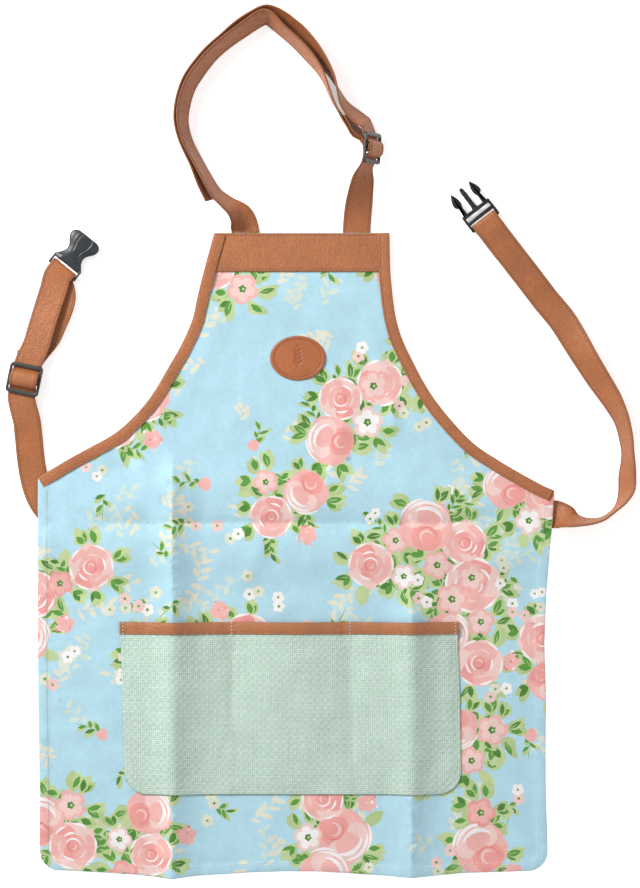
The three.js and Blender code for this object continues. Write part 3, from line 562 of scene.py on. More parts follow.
printCloth = printedMaterial()
meshCloth = meshClothMaterial()
bandLeather = leatherMaterial("leather_band", (191, 117, 71), grain=0.55)
strapLeather = leatherMaterial("leather_strap", (184, 110, 62), grain=0.46)
pocketLeather = leatherMaterial("leather_pocket", (193, 123, 78))
badgeLeather = leatherMaterial("leather_badge", (188, 107, 59), grain=0.15)
creamThread = threadMaterial("cream_thread", (244, 244, 236))
tanThread = threadMaterial("tan_thread", (168, 104, 70))
print("materials made")

# the printed cloth
printValues = {
    "seed": 21, "across": (-292, 296), "up": (-10, 705), "bouquets": 24, "bouquetSpace": 98, "bouquetReach": 58,
    "roseSize": (24, 32), "midSize": (14, 18), "blossomSize": (7.5, 10), "sprays": 34, "spraySpace": 36,
    "ghostSprigs": 125, "gridStep": 7.6, "backStep": 13.0, "back": (214, 232, 236), "rim": (196, 222, 226),
}
inks = {
    "ground": (185, 224, 238), "ghost": (214, 230, 218), "cream": (230, 230, 210), "paleGreen": (198, 216, 160),
    "olive": (186, 206, 148), "midGreen": (140, 182, 112), "leafGreen": (98, 158, 72), "darkGreen": (84, 138, 62),
    "palePink": (246, 210, 204), "pink": (245, 186, 180), "coral": (243, 166, 160), "deepCoral": (231, 142, 137),
    "white": (250, 246, 245),
}


def polar(x, y, away, angle):
    return x + away * math.cos(angle), y + away * math.sin(angle)


def petalShape(x, y, size, lobes, depth, turn, chance, points):
    out = []
    for k in range(points):
        angle = 2 * math.pi * k / points
        radius = size * (1 - depth * (0.5 + 0.5 * math.cos(lobes * angle)) + chance.uniform(-0.05, 0.05))
        out.append(polar(x, y, radius, angle + turn))
    return out


def leafShape(x, y, length, width, turn, chance, bend=0.1):  # from its stalk outwards
    left, right = [], []
    steps = 5 if length > 15 else 4
    for k in range(steps):
        t = k / (steps - 1)
        half = width / 2 * math.sin(math.pi * min(1, t * 0.94 + 0.03)) ** 0.8 * chance.uniform(0.9, 1.08)
        cx, cy = length * t, bend * length * t * t
        left.append((cx, cy + half))
        right.append((cx, cy - half))
    c, s = math.cos(turn), math.sin(turn)
    return [(x + px * c - py * s, y + px * s + py * c) for px, py in left + right[::-1]]


def strokeShape(x, y, radius, start, sweep, width, points=5):  # a curved brush stroke round a centre
    outer, inner = [], []
    for k in range(points):
        t = k / (points - 1)
        angle, half = start + sweep * t, width / 2 * math.sin(math.pi * (0.08 + 0.84 * t))
        outer.append(polar(x, y, radius + half, angle))
        inner.append(polar(x, y, radius - half, angle))
    return outer + inner[::-1]


def scatter(count, space, taken, chance, reach=1.0):  # places apart from each other and from what is there
    out = []
    for _ in range(count * 60):
        if len(out) == count:
            break
        x, y = chance.uniform(*printValues["across"]), chance.uniform(*printValues["up"])
        if all(math.hypot(x - a, y - b) > space for a, b in out) and \
                all(math.hypot(x - a, y - b) > r * reach + space * 0.3 for a, b, r in taken):
            out.append((x, y))
    return out


def roseShapes(x, y, size, chance):
    turn = anyTurn(chance)
    out = [("palePink", petalShape(x, y, size, 6, 0.16, turn, chance, 22))]
    for k, ink in enumerate(("pink", "palePink", "coral", "pink", "palePink", "pink")):
        angle = turn + k * 1.047 + chance.uniform(-0.2, 0.2)
        centre = polar(x, y, size * 0.55, angle)
        out.append((ink, petalShape(*centre, size * chance.uniform(0.4, 0.48), 2, 0.18, angle, chance, 10)))
        out.append(("white", strokeShape(x, y, size * chance.uniform(0.84, 0.93), angle - 0.32, 0.64, size * 0.1)))
    for k in range(5):
        angle = turn + 0.5 + k * 1.256
        centre = polar(x, y, size * 0.3, angle)
        out.append(("coral" if k % 2 else "pink", petalShape(*centre, size * 0.31, 2, 0.2, angle, chance, 8)))
        radius = size * chance.uniform(0.5, 0.6)
        out.append(("white" if k % 2 else "palePink", strokeShape(x, y, radius, angle - 0.45, 0.9, size * 0.1)))
    out.append(("coral", petalShape(x, y, size * 0.3, 3, 0.2, turn, chance, 12)))
    for k, ink in enumerate(("white", "deepCoral", "palePink")):
        out.append((ink, strokeShape(x, y, size * (0.3 - 0.09 * k), turn + 2.1 * k, 2.6, size * 0.075, 9)))
    return out


def fivePetals(ink, x, y, away, size, depth, turn, chance, points):
    angles = [turn + k * 1.2566 for k in range(5)]
    return [(ink, petalShape(*polar(x, y, away, angle), size, 1, depth, angle, chance, points)) for angle in angles]


def midFlowerShapes(x, y, size, chance):
    turn = anyTurn(chance)
    edge, face = chance.choice([("pink", "palePink"), ("coral", "pink"), ("palePink", "white")])
    return [
        *fivePetals(edge, x, y, size * 0.56, size * 0.5, 0.12, turn, chance, 8),
        *fivePetals(face, x, y, size * 0.5, size * 0.34, 0.12, turn + 0.1, chance, 7),
        ("darkGreen", petalShape(x, y, size * 0.27, 5, 0.3, turn, chance, 10)),
        ("paleGreen", petalShape(x + size * 0.04, y, size * 0.1, 2, 0.1, turn, chance, 5)),
    ]


def blossomShapes(x, y, size, chance):
    out = []
    for k in range(chance.choice((2, 3, 3))):
        bx, by = polar(x, y, size * 1.05 * k, anyTurn(chance))
        turn = anyTurn(chance)
        ink = chance.choice(("palePink", "white", "cream"))
        out += fivePetals(ink, bx, by, size * 0.42, size * 0.38, 0.1, turn, chance, 6)
        out.append(("midGreen" if k else "leafGreen", petalShape(bx, by, size * 0.2, 3, 0.2, turn, chance, 6)))
    return out


# ink, away from the middle, at which angle, size, lobes, depth, turn, points
cupPetals = [
    ("pink", 0, 0, 1, 4, 0.1, 0, 22), ("coral", 0.42, 0.2, 0.55, 2, 0.1, 0, 16),
    ("palePink", 0.5, 2.3, 0.46, 2, 0.15, 2, 14),
    ("palePink", 0.5, -2.2, 0.44, 2, 0.15, -2, 14), ("pink", 0.3, 2.9, 0.44, 2, 0.1, 3, 14),
]
# radius, start, sweep, width
cupStrokes = [(0.62, 2.0, 1.9, 0.15), (0.82, 2.5, 1.6, 0.13), (0.94, -2.9, 1.1, 0.1)]


def cupRoseShapes(x, y, size, chance):  # a rose seen from its side, with broad light strokes
    turn = anyTurn(chance)
    out = []
    for ink, away, angle, share, lobes, depth, aside, points in cupPetals:
        centre = polar(x, y, size * away, turn + angle)
        out.append((ink, petalShape(*centre, size * share, lobes, depth, turn + aside, chance, points)))
    cup = polar(x, y, size * 0.42, turn + 0.2)
    out.append(("deepCoral", strokeShape(*cup, size * 0.36, turn + 1.2, 3.4, size * 0.06, 9)))
    out.append(("palePink", strokeShape(*cup, size * 0.22, turn + 2.0, 3.8, size * 0.09, 9)))
    out.append(("coral", petalShape(*polar(x, y, size * 0.46, turn + 0.15), size * 0.12, 2, 0.1, turn, chance, 8)))
    for radius, start, sweep, width in cupStrokes:
        out.append(("white", strokeShape(x, y, size * radius, turn + start, sweep, size * width, 10)))
    return out


def clumpShapes(x, y, chance):  # a ball of tiny florets
    out = [("pink", petalShape(x, y, 11, 5, 0.25, chance.uniform(0, 6), chance, 20))]
    for _ in range(12):
        angle, away = anyTurn(chance), 12.5 * math.sqrt(chance.random())
        ink = chance.choice(("coral", "pink", "deepCoral", "pink", "palePink", "white"))
        size = chance.uniform(1.3, 2.4)
        out.append((ink, petalShape(*polar(x, y, away, angle), size, 4, 0.25, angle, chance, 6)))
    return out


def leafPair(x, y, length, width, angle, chance):  # a dark leaf over a pale one that is printed a little aside
    pale, dark = chance.choice(("paleGreen", "olive")), chance.choice(("leafGreen", "leafGreen", "darkGreen"))
    pair = [(pale, leafShape(x + 1.1, y - 1.0, length * 1.2, width * 1.35, angle + 0.15, chance)),
            (dark, leafShape(x, y, length * 0.9, width * 0.85, angle, chance))]
    if length > 16:
        pair.append((pale, leafShape(x + 0.5, y, length * 0.62, 0.9, angle, chance)))
    return pair


def alongStalk(x, y, length, bend, turn, t):
    aside = bend * length * t * t
    return (x + length * t * math.cos(turn) - aside * math.sin(turn),
            y + length * t * math.sin(turn) + aside * math.cos(turn))


def sprayShapes(x, y, chance):  # a thin stalk with leaves on both sides
    turn, length = anyTurn(chance), chance.uniform(22, 40)
    out = [("midGreen", leafShape(x, y, length, 1.3, turn, chance, 0.25))]
    for k in range(chance.choice((3, 4, 5, 6))):
        at = alongStalk(x, y, length, 0.25, turn, (k + 1) / 6.5)
        angle = turn + (0.85 if k % 2 else -0.75) + chance.uniform(-0.2, 0.3)
        out += leafPair(*at, chance.uniform(7, 13), chance.uniform(3.6, 6), angle, chance)
    return out


def ghostSprigShapes(x, y, chance):  # faint leaves in the ground's own tone
    turn, length = anyTurn(chance), chance.uniform(26, 46)
    ink = chance.choice(("ghost", "cream", "cream"))
    out = [(ink, leafShape(x, y, length, 0.9, turn, chance, 0.3))]
    for k in range(chance.choice((4, 5, 6, 7))):
        at = alongStalk(x, y, length, 0.3, turn, (k + 0.6) / 7)
        angle = turn + (0.8 if k % 2 else -0.8) + chance.uniform(-0.3, 0.3)
        out.append((ink, leafShape(*at, chance.uniform(9, 15), chance.uniform(4.5, 7), angle, chance)))
    return out


def bouquetShapes(x, y, chance):  # layers: wide pale leaves, small dark ones, flowers
    v, lean = printValues, anyTurn(chance)
    low, middle, high, taken = [], [], [], []
    for k in range(chance.choice((1, 2, 2, 3))):
        rx, ry = polar(x, y, 46 if k else 0, lean + k * 2.2)
        size = chance.uniform(*v["roseSize"])
        high += (roseShapes if (k + int(x)) % 2 else cupRoseShapes)(rx, ry, size, chance)
        taken.append((rx, ry, size))
    for k in range(chance.choice((1, 2))):
        size = chance.uniform(*v["midSize"])
        mx, my = polar(x, y, 38, lean + 3.3 + k * 1.1)
        high += midFlowerShapes(mx, my, size, chance)
        taken.append((mx, my, size))
    for k in range(chance.choice((1, 2, 3))):
        at = polar(x, y, 50, lean + 5.2 + k * 0.7)
        high += blossomShapes(*at, chance.uniform(*v["blossomSize"]), chance)
    if chance.random() < 0.7:
        high += clumpShapes(*polar(x, y, 44, lean + 1.1), chance)
    for cx, cy, size in taken:
        for k in range(7):
            angle = lean + k * 0.9 + chance.uniform(-0.3, 0.3)
            px, py = polar(cx, cy, size * 0.8, angle)
            if any(math.hypot(px - a, py - b) < r * 0.7 for a, b, r in taken if (a, b) != (cx, cy)):
                continue
            ink = chance.choice(("paleGreen", "olive", "paleGreen"))
            low.append((ink, leafShape(px, py, chance.uniform(17, 26), chance.uniform(12, 17), angle, chance)))
            for turn in (-0.5, 0.35):
                if chance.random() < 0.75:
                    length, width = chance.uniform(11, 18), chance.uniform(6, 9.5)
                    middle += leafPair(*polar(px, py, 5, angle), length, width, angle + turn, chance)
        middle += sprayShapes(*polar(cx, cy, size * 0.7, lean), chance)
    return low, middle, high


def printShapes():  # from the lowest layer to the highest
    v, chance = printValues, random.Random(printValues["seed"])
    places = scatter(v["bouquets"], v["bouquetSpace"], [], chance)
    taken = [(x, y, v["bouquetReach"]) for x, y in places]
    shapes = []
    for _ in range(v["ghostSprigs"]):
        shapes += ghostSprigShapes(chance.uniform(-290, 290), chance.uniform(0, 700), chance)
    for x, y in scatter(v["sprays"], v["spraySpace"], taken, chance, 0.8):
        shapes += sprayShapes(x, y, chance)
        if chance.random() < 0.5:
            shapes += blossomShapes(x, y, chance.uniform(*v["blossomSize"]), chance)
        elif chance.random() < 0.5:
            shapes.append(("pink", petalShape(x, y, chance.uniform(5, 9), 3, 0.15, 0, chance, 12)))
    layers = [bouquetShapes(x, y, chance) for x, y in places]
    return shapes + [shape for level in range(3) for layer in layers for shape in layer[level]]


rowShare = 0.866  # of an even triangle's side


def wellInside(points, away):  # those inside the outline and farther than this from it
    x, y = points[:, 0], points[:, 1]
    return points[insideOf(outline, x, y) & (nearestOn(closedOutline, x, y)[0] > away)]


def steinerPoints(step):  # a triangular grid, with rows along the hems
    grid = []
    for i in range(int(700 / (step * rowShare))):
        row = np.arange(-290, 292, step) + (step / 2 if i % 2 else 0)
        grid.append(pairs(row, 0 * row + i * step * rowShare - 6))
    even = evenly(hemLine, 470)
    rows = [wellInside(offsetLine(even, -inward), inward * 0.93) for inward in (1.0, 8.6, 9.6, 10.8)]
    return np.concatenate([wellInside(np.concatenate(grid), 2.5), *rows])


def creasePoints():  # rows along the sharp creases, for the face only
    points = []
    across = np.arange(waistLeft + 6, waistRight - 6, 8.0)
    for aside in (-1.3, 0, 1.3):
        rows = [pairs(across, 0 * across + waistCrease["y"] + aside)]
        for x0, y0, x1, y1, *_ in folds[:2]:
            up = np.arange(4, y1 - 30, 8.0)
            rows.append(pairs(x0 + (x1 - x0) * (up - y0) / (y1 - y0) + aside, up))
        points += [wellInside(row, 12) for row in rows]
    return np.concatenate(points)


def panelHeight(x, y):
    away, share = nearestOn(hemLine, x, y)
    hem = 0.75 * (1 - smooth(8.8, 10.6, away))
    pucker = 0.22 * np.sin(share * 330 + 1.3 * np.sin(share * 57)) * np.exp(-((away - 9.5) / 6) ** 2)
    rim = -0.35 * (1 - smooth(0.1, 1.2, away))
    return clothTop(x, y) + hem + pucker + rim


def seenShapes(shapes):  # without those beside the cloth or wholly under a later flower
    points = [np.array(shape) for _, shape in shapes]
    owner = np.repeat(np.arange(len(points)), [len(p) for p in points])
    joined = np.concatenate(points)
    seen = np.zeros(len(points), bool)
    np.logical_or.at(seen, owner, insideOf(outline, joined[:, 0], joined[:, 1]))
    for i, cover in enumerate(points):
        if len(cover) >= 20:
            middle = cover.mean(axis=0)
            reach = np.linalg.norm(cover - middle, axis=1).min() * 0.98
            farthest = np.zeros(len(points))
            np.maximum.at(farthest, owner, np.linalg.norm(joined - middle, axis=1))
            seen[:i] &= farthest[:i] > reach
    return [shape for shape, keep in zip(shapes, seen) if keep]


def rimOf(faces):  # the outer edge of a flat mesh, as one round of point numbers
    edges = dict.fromkeys(edge for face in faces for edge in zip(face, face[1:] + face[:1]))
    following = {a: b for a, b in edges if (b, a) not in edges}
    rim = [next(iter(following))]
    while following[rim[-1]] != rim[0]:
        rim.append(following[rim[-1]])
    return rim


def printedFace(shapes):  # flat points, faces and their colours, with the shapes cut into the cloth
    verts = [Vector(p) for p in outline]
    faces = [list(range(len(outline)))]
    colours = [tone(*inks["ground"])]
    for ink, shape in shapes:
        start = len(verts)
        area = sum(a[0] * b[1] - a[1] * b[0] for a, b in zip(shape, shape[1:] + shape[:1]))
        verts += [Vector(p) for p in (shape if area > 0 else shape[::-1])]  # filled only when they run leftwards
        faces.append(list(range(start, start + len(shape))))
        colours.append(tone(*inks[ink]))
    verts += [Vector(p) for p in np.concatenate([steinerPoints(printValues["gridStep"]), creasePoints()])]
    flat, _, triangles, _, _, origins = delaunay_2d_cdt(verts, [], faces, 1, 1e-4)
    kept = [(face, max(ids)) for face, ids in zip(triangles, origins) if 0 in ids]
    used = sorted({v for face, _ in kept for v in face})
    number = {v: i for i, v in enumerate(used)}
    top = np.array([(flat[v].x, flat[v].y) for v in used])
    return top, [[number[v] for v in face] for face, _ in kept], [colours[origin] for _, origin in kept]


def makePanel():
    shapes = seenShapes(printShapes())
    top, topFaces, faceColours = printedFace(shapes)
    rim = rimOf(topFaces)
    under = [Vector(top[v]) for v in rim] + [Vector(p) for p in steinerPoints(printValues["backStep"])]
    flatUnder, _, underFaces, _, _, _ = delaunay_2d_cdt(under, [], [list(range(len(rim)))], 1, 1e-6)
    if len(flatUnder) != len(under):
        print("panel: the back was cut into", len(flatUnder), "points, not", len(under))
    height = panelHeight(top[:, 0], top[:, 1])
    low = np.array([(v.x, v.y) for v in flatUnder])
    lowHeight = np.maximum(clothTop(low[:, 0], low[:, 1]) - panelSize["thickness"], 0.02)
    points = np.concatenate([place(top[:, 0], top[:, 1], height), place(low[:, 0], low[:, 1], lowHeight)])
    base = len(top)
    allFaces = topFaces + [[base + v for v in face[::-1]] for face in underFaces]
    faceColours += [tone(*printValues["back"])] * len(underFaces) + [tone(*printValues["rim"])] * len(rim)
    for k, a in enumerate(rim):
        b = rim[(k + 1) % len(rim)]
        allFaces.append([b, a, base + k, base + (k + 1) % len(rim)])
    mesh = bpy.data.meshes.new("printed_panel")
    mesh.from_pydata([tuple(p) for p in points], [], allFaces)
    counts = np.array([len(face) for face in allFaces])
    paint = mesh.attributes.new("print", "FLOAT_COLOR", "CORNER")
    paint.data.foreach_set("color", np.repeat(np.array(faceColours, np.float32), counts, axis=0).ravel())
    mesh.polygons.foreach_set("use_smooth", [True] * len(mesh.polygons))
    mesh.materials.append(printCloth)
    panel = bpy.data.objects.new("printed_panel", mesh)
    bpy.context.collection.objects.link(panel)
    print("panel made:", len(shapes), "printed shapes,", len(allFaces), "faces")
    return panel


panel = makePanel()

seamsOfCream, seamsOfTan = [], []  # lines of points that are stitched later, in model metres

# leather edging round the armholes
bindingValues = {"width": 12.5, "wall": 1.0, "clothSlot": 2.1, "bandSlot": 3.6, "stitchInset": 10.4, "wave": 0.12}


def foldedSection(width, slot, wall, groove):  # depth from the edge inwards, and height
    top = 2 * wall + slot
    return [
        (0, 0.9), (0.25, 0.25), (0.9, 0), (width - 0.4, 0), (width, 0.3), (width, wall), (wall + 0.2, wall),
        (wall, wall + 0.2), (wall, wall + slot - 0.2), (wall + 0.2, wall + slot), (width, wall + slot),
        (width, top - 0.35), (width - 0.4, top), (groove + 0.7, top), (groove, top - 0.22), (groove - 0.7, top),
        (4.5, top + 0.06), (0.9, top), (0.25, top - 0.25), (0, top - 0.9),
    ]


def makeBinding(name, line, side):
    v, inner = bindingValues, offsetLine(line, side) - line
    width, wall = v["width"], v["wall"]
    rings, seam = [], []
    for i, (x, y) in enumerate(line):
        share = i / (len(line) - 1)
        slot = v["clothSlot"] + (v["bandSlot"] - v["clothSlot"]) * (
            1 - float(smooth(0.15, 0.21, share)))
        base = float(fromTable(bindingLift, share))
        wave = v["wave"] * math.sin(i * 0.9 + math.sin(i * 0.37))
        ring = foldedSection(width, slot, wall, v["stitchInset"])
        raised = [base + h + (wave if h > wall + slot and d > 1 else 0) for d, h in ring]
        rings.append([place(x + inner[i][0] * d, y + inner[i][1] * d, z) for (d, _), z in zip(ring, raised)])
        d = v["stitchInset"]
        seam.append(place(x + inner[i][0] * d, y + inner[i][1] * d, base + 2 * wall + slot + wave + 0.05))
    verts, faces = ringLoft(rings)
    made = meshObject(name, verts, faces, bandLeather)
    depths = [d for d, _ in foldedSection(width, 2, wall, v["stitchInset"])]
    addFloat(made.data, "edge", [1.0 if d < 0.5 or d > width - 0.2 else 0.0 for d in depths] * len(rings))
    seamsOfTan.append(seam[1:-1])
    return made


leftEdging = makeBinding("left_edging", leftArmhole, -1)
rightEdging = makeBinding("right_edging", rightArmhole, 1)

# leather band across the bib
bandValues = {"height": 42, "thickness": 1.2, "stitchInset": 2.8, "columns": 90}


def makeBand():
    v = bandValues
    h, inset = v["height"], v["stitchInset"]
    downs = np.array([h, h - 0.5, h - inset + 0.8, h - inset, h - inset - 0.8, *np.linspace(h - 6, 6, 12),
                      inset + 0.8, inset, inset - 0.8, 0.9, 0.4])
    ys = bibTop - downs
    leftX = np.interp(-ys, -leftArmhole[:, 1], leftArmhole[:, 0]) + edgeInset + 0.6
    rightX = np.interp(-ys, -rightArmhole[:, 1], rightArmhole[:, 0]) - edgeInset - 0.6
    t = np.r_[0, 0.003, np.linspace(0.012, 0.988, v["columns"]), 0.997, 1]
    xs = leftX[:, None] + (rightX - leftX)[:, None] * t[None, :]
    yy = np.repeat(ys[:, None], len(t), axis=1)
    zs = clothTop(xs, yy, 0) + leatherGap + v["thickness"]
    zs += 0.14 * np.sin(xs * 0.11 + 1) * np.sin(yy * 0.16)
    grooves = np.isclose(downs, inset) | np.isclose(downs, h - inset)
    zs[grooves] -= 0.22
    verts, faces = sheetMesh(xs, yy, zs, v["thickness"])
    made = meshObject("leather_band", verts, faces, bandLeather)
    edge = np.zeros(xs.shape)
    edge[:2] = edge[-2:] = 1
    addFloat(made.data, "edge", np.r_[edge.ravel(), edge.ravel()])
    for row in np.flatnonzero(grooves):
        seamsOfTan.append(place(xs[row, 6:-6], yy[row, 6:-6], zs[row, 6:-6] + 0.27))
    return made


band = makeBand()

# open-weave pocket in three parts
pocketValues = {
    "top": 271, "bottom": 84.8, "corner": 25, "bulge": 8.5, "left": 0.163, "right": 0.8285,
    "dividers": (0.3828, 0.6155), "thickness": 1.2, "columns": 30, "edgingHeight": 13, "edgingSlot": 1.8,
    "edgingGroove": 10.6, "ripple": 0.5,
}
pocketSeams = [pocketValues["left"], *pocketValues["dividers"], pocketValues["right"]]


def pocketSurface(share, up, fine=1.0):  # x, y and height of the pocket's back, which stands off the cloth
    v = pocketValues
    share, up = np.broadcast_arrays(np.asarray(share, float), np.asarray(up, float))
    fromSide = np.minimum(share - v["left"], v["right"] - share) * (
        panelSize["waistWidth"] - panelSize["hemMargin"])
    inCorner = np.clip(v["corner"] - fromSide, 0, v["corner"])
    bottom = v["bottom"] + v["corner"] - np.sqrt(v["corner"] ** 2 - inCorner ** 2)
    y = bottom + (v["top"] - bottom) * up
    leftX = waistLeft - fromTable(leftSide, y / panelSize["leftWaist"])
    rightX = waistRight + fromTable(rightSide, y / panelSize["rightWaist"])
    down = np.clip((v["top"] - y) / (v["top"] - v["bottom"]), 0, 1)
    lean = 0.007 * np.exp(-(((share - v["left"]) / 0.05) ** 2)) + 0.005 * np.exp(
        -(((share - v["right"]) / 0.05) ** 2))
    x = leftX + (rightX - leftX) * (share + lean * down)
    seam = np.clip(np.searchsorted(pocketSeams, share, side="left"), 1, 3)
    seams = np.array(pocketSeams)
    span = np.clip((share - seams[seam - 1]) / (seams[seam] - seams[seam - 1]), 0, 1)
    bulge = v["bulge"] * np.minimum(1, up / 0.9) ** 0.8 * np.sin(math.pi * span) ** 0.8
    seamGap = 0.4 + 1.4 * smooth(0.78, 0.92, up)
    ripple = fine * v["ripple"] * np.sin(math.pi * span) * np.sin(math.pi * np.clip(up, 0, 0.85) / 0.85) * (
        np.sin(x * 0.16 + 1.5 * np.sin(y * 0.03)) + 0.7 * np.sin(y * 0.11 + x * 0.05) + 0.8)
    return x, y, clothTop(x, y) + np.maximum(seamGap, bulge) + np.maximum(ripple, 0)


def pocketColumns():
    t = (1 - np.cos(np.linspace(0, math.pi, pocketValues["columns"] + 1))) / 2
    columns = [a + (b - a) * t[:-1] for a, b in zip(pocketSeams, pocketSeams[1:])]
    return np.r_[np.concatenate(columns), pocketSeams[-1]]


def makePocket():
    v, shares = pocketValues, pocketColumns()
    ups = np.r_[0, 0.008, 0.02, 0.04, np.linspace(0.065, 0.97, 40), 0.994]
    xs, ys, zs = pocketSurface(shares[None, :], ups[:, None])
    verts, faces = sheetMesh(xs, ys, zs + v["thickness"], v["thickness"])
    made = meshObject("mesh_pocket", verts, faces, meshCloth)
    width = v["thickness"] + 0.15
    low, high = v["left"] + 0.0062, v["right"] - 0.0062
    for inset in (0.0, 0.0085):
        corner = []
        for up in np.linspace(0.9, 0.16 if not inset else 0.19, 30):
            corner.append((low + inset, up))
        for k in range(1, 12):
            turn = k / 12 * math.pi / 2
            corner.append((low + inset + 0.036 * (1 - math.cos(turn)),
                           0.025 + inset * 2.6 + 0.135 * (1 - math.sin(turn))))
        right = [(v["left"] + v["right"] - share, up) for share, up in corner[::-1]]
        middle = [(share, 0.025 + inset * 2.6) for share in np.linspace(corner[-1][0], right[0][0], 70)[1:-1]]
        line = np.array(corner + middle + right)
        x, y, z = pocketSurface(line[:, 0], line[:, 1])
        seamsOfCream.append(place(x, y, z + width))
    for divider in v["dividers"]:
        for side in (-0.0022, 0.0022):
            up = np.linspace(0.03, 0.93, 60)
            x, y, z = pocketSurface(np.full(up.shape, divider + side), up)
            seamsOfCream.append(place(x, y, z + width))
    return made


def makePocketEdging():
    v, shares = pocketValues, pocketColumns()
    wall, height = bindingValues["wall"], v["edgingHeight"]
    slot, groove = v["edgingSlot"], v["edgingGroove"]
    section = foldedSection(height, slot, wall, groove)
    hx, hy, hz = pocketSurface(shares, 0.994, 0)
    _, ly, lz = pocketSurface(shares, 0.925, 0)
    slope = (hz - lz) / (hy - ly)

    def onEdging(j, aside, depth, up):
        z = hz[j] - leatherGap - wall + up + slope[j] * max(edgeInset - depth, ly[j] - hy[j])
        return place(hx[j] + aside, hy[j] + edgeInset - depth, z)

    rings, seam = [], []
    for j in range(len(shares)):
        end = -0.8 if j == 0 else (0.8 if j == len(shares) - 1 else 0)
        wave = 0.1 * math.sin(j * 1.1)
        rings.append([onEdging(j, end, d, h + wave) for d, h in section])
        seam.append(onEdging(j, 0, groove, 2 * wall + slot + wave + 0.05))
    for at in (v["left"] + 0.004, *v["dividers"], v["right"] - 0.004):
        j = int(np.argmin(np.abs(shares - at)))
        for aside in (-0.35, 0.35):
            seamsOfCream.append([onEdging(j, aside, d, 2 * wall + slot + 0.25) for d in (1.2, 3, 5, 7, 9, 11, 12.4)])
    verts, faces = ringLoft(rings)
    made = meshObject("pocket_edging", verts, faces, pocketLeather)
    addFloat(made.data, "edge", [1.0 if d < 0.5 or d > height - 0.2 else 0.0 for d, _ in section] * len(rings))
    seamsOfTan.append(seam[1:-1])
    return made


pocket = makePocket()
pocketEdging = makePocketEdging()

# oval leather badge with a plain pressed sprig
badgeValues = {"width": 60, "height": 48, "thickness": 1.2, "lineInset": 3.4, "lineWidth": 0.9, "press": 0.5}


def sprigPress(x, y):  # a stalk with four pairs of leaves and one at the tip
    press = np.exp(-((x / 0.45) ** 2)) * smooth(-13, -12, y) * (1 - smooth(9, 10, y))
    for k in range(5):
        reach, turn = 7.5 - 0.7 * k, 0.62
        for side in ((-1, 1) if k < 4 else (0,)):
            cx, cy = side * math.sin(turn) * reach * 0.62, -7.5 + 4.6 * k + math.cos(turn) * reach * 0.5
            angle = math.pi / 2 - side * turn
            u = (x - cx) * math.cos(angle) + (y - cy) * math.sin(angle)
            v = (y - cy) * math.cos(angle) - (x - cx) * math.sin(angle)
            press = np.maximum(press, 1 - smooth(0.75, 1.05, np.hypot(u / (reach * 0.46), v / 1.45)))
    return press


def makeBadge():
    v = badgeValues
    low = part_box("badge")[0][2] * 1000
    shares = np.r_[0.02, np.linspace(0.05, 0.86, 42), np.linspace(0.87, 0.975, 12), 0.99, 1.0]
    turns = np.linspace(0, 2 * math.pi, 145)[:-1]
    x = shares[:, None] * v["width"] / 2 * np.cos(turns)[None, :]
    y = shares[:, None] * v["height"] / 2 * np.sin(turns)[None, :]
    fromEdge = (1 - shares)[:, None] * v["height"] / 2 + 0 * x
    z = v["thickness"] - v["press"] * sprigPress(x, y)
    z -= 0.35 * np.exp(-((fromEdge - v["lineInset"]) / v["lineWidth"] * 2) ** 2)
    z += 0.35 * np.exp(-((fromEdge - 2.0) / 1.1) ** 2)
    z[-1] -= 0.45
    z[-2] -= 0.1
    centre = place(badgePlace["x"], badgePlace["y"], low + v["thickness"])
    top = place(x + badgePlace["x"], y + badgePlace["y"], z + low)
    count = len(turns)
    verts = [centre, *top.reshape(-1, 3)]
    faces = [(0, 1 + j, 1 + (j + 1) % count) for j in range(count)]
    for i in range(1, len(shares)):
        for j in range(count):
            k = (j + 1) % count
            faces.append((1 + (i - 1) * count + j, 1 + i * count + j, 1 + i * count + k, 1 + (i - 1) * count + k))
    last, base = 1 + (len(shares) - 1) * count, len(verts)
    verts += [place(badgePlace["x"] + x[-1, j] * 0.995, badgePlace["y"] + y[-1, j] * 0.995, low) for j in range(count)]
    faces += [(last + j, base + j, base + (j + 1) % count, last + (j + 1) % count) for j in range(count)]
    faces.append(tuple(base + j for j in range(count))[::-1])
    made = meshObject("oval_badge", verts, faces, badgeLeather)
    # darker rim rings, and painted shade in the pressed line and the pressed sprig
    edge = np.zeros(len(verts))
    edge[1 + (len(shares) - 2) * count:] = 0.8
    line = 0.7 * np.exp(-((fromEdge - v["lineInset"]) / v["lineWidth"]) ** 2)
    pressed = np.maximum(0.75 * sprigPress(x, y), line)
    edge[1:1 + x.size] = np.maximum(edge[1:1 + x.size], pressed.ravel())
    addFloat(made.data, "edge", edge)
    return made


badge = makeBadge()
print("edging, band, pocket and badge made")

# straps
strapValues = {"width": 30, "thickness": 2, "stitchInset": 2.7, "step": 3.2, "seamEnd": 4}
neckX, leftY, rightY = 6.9, 401.8, 387.2
neckAcross, neckUp, leftReach, rightReach = 224.6, 241.9, 294.8, 359.1

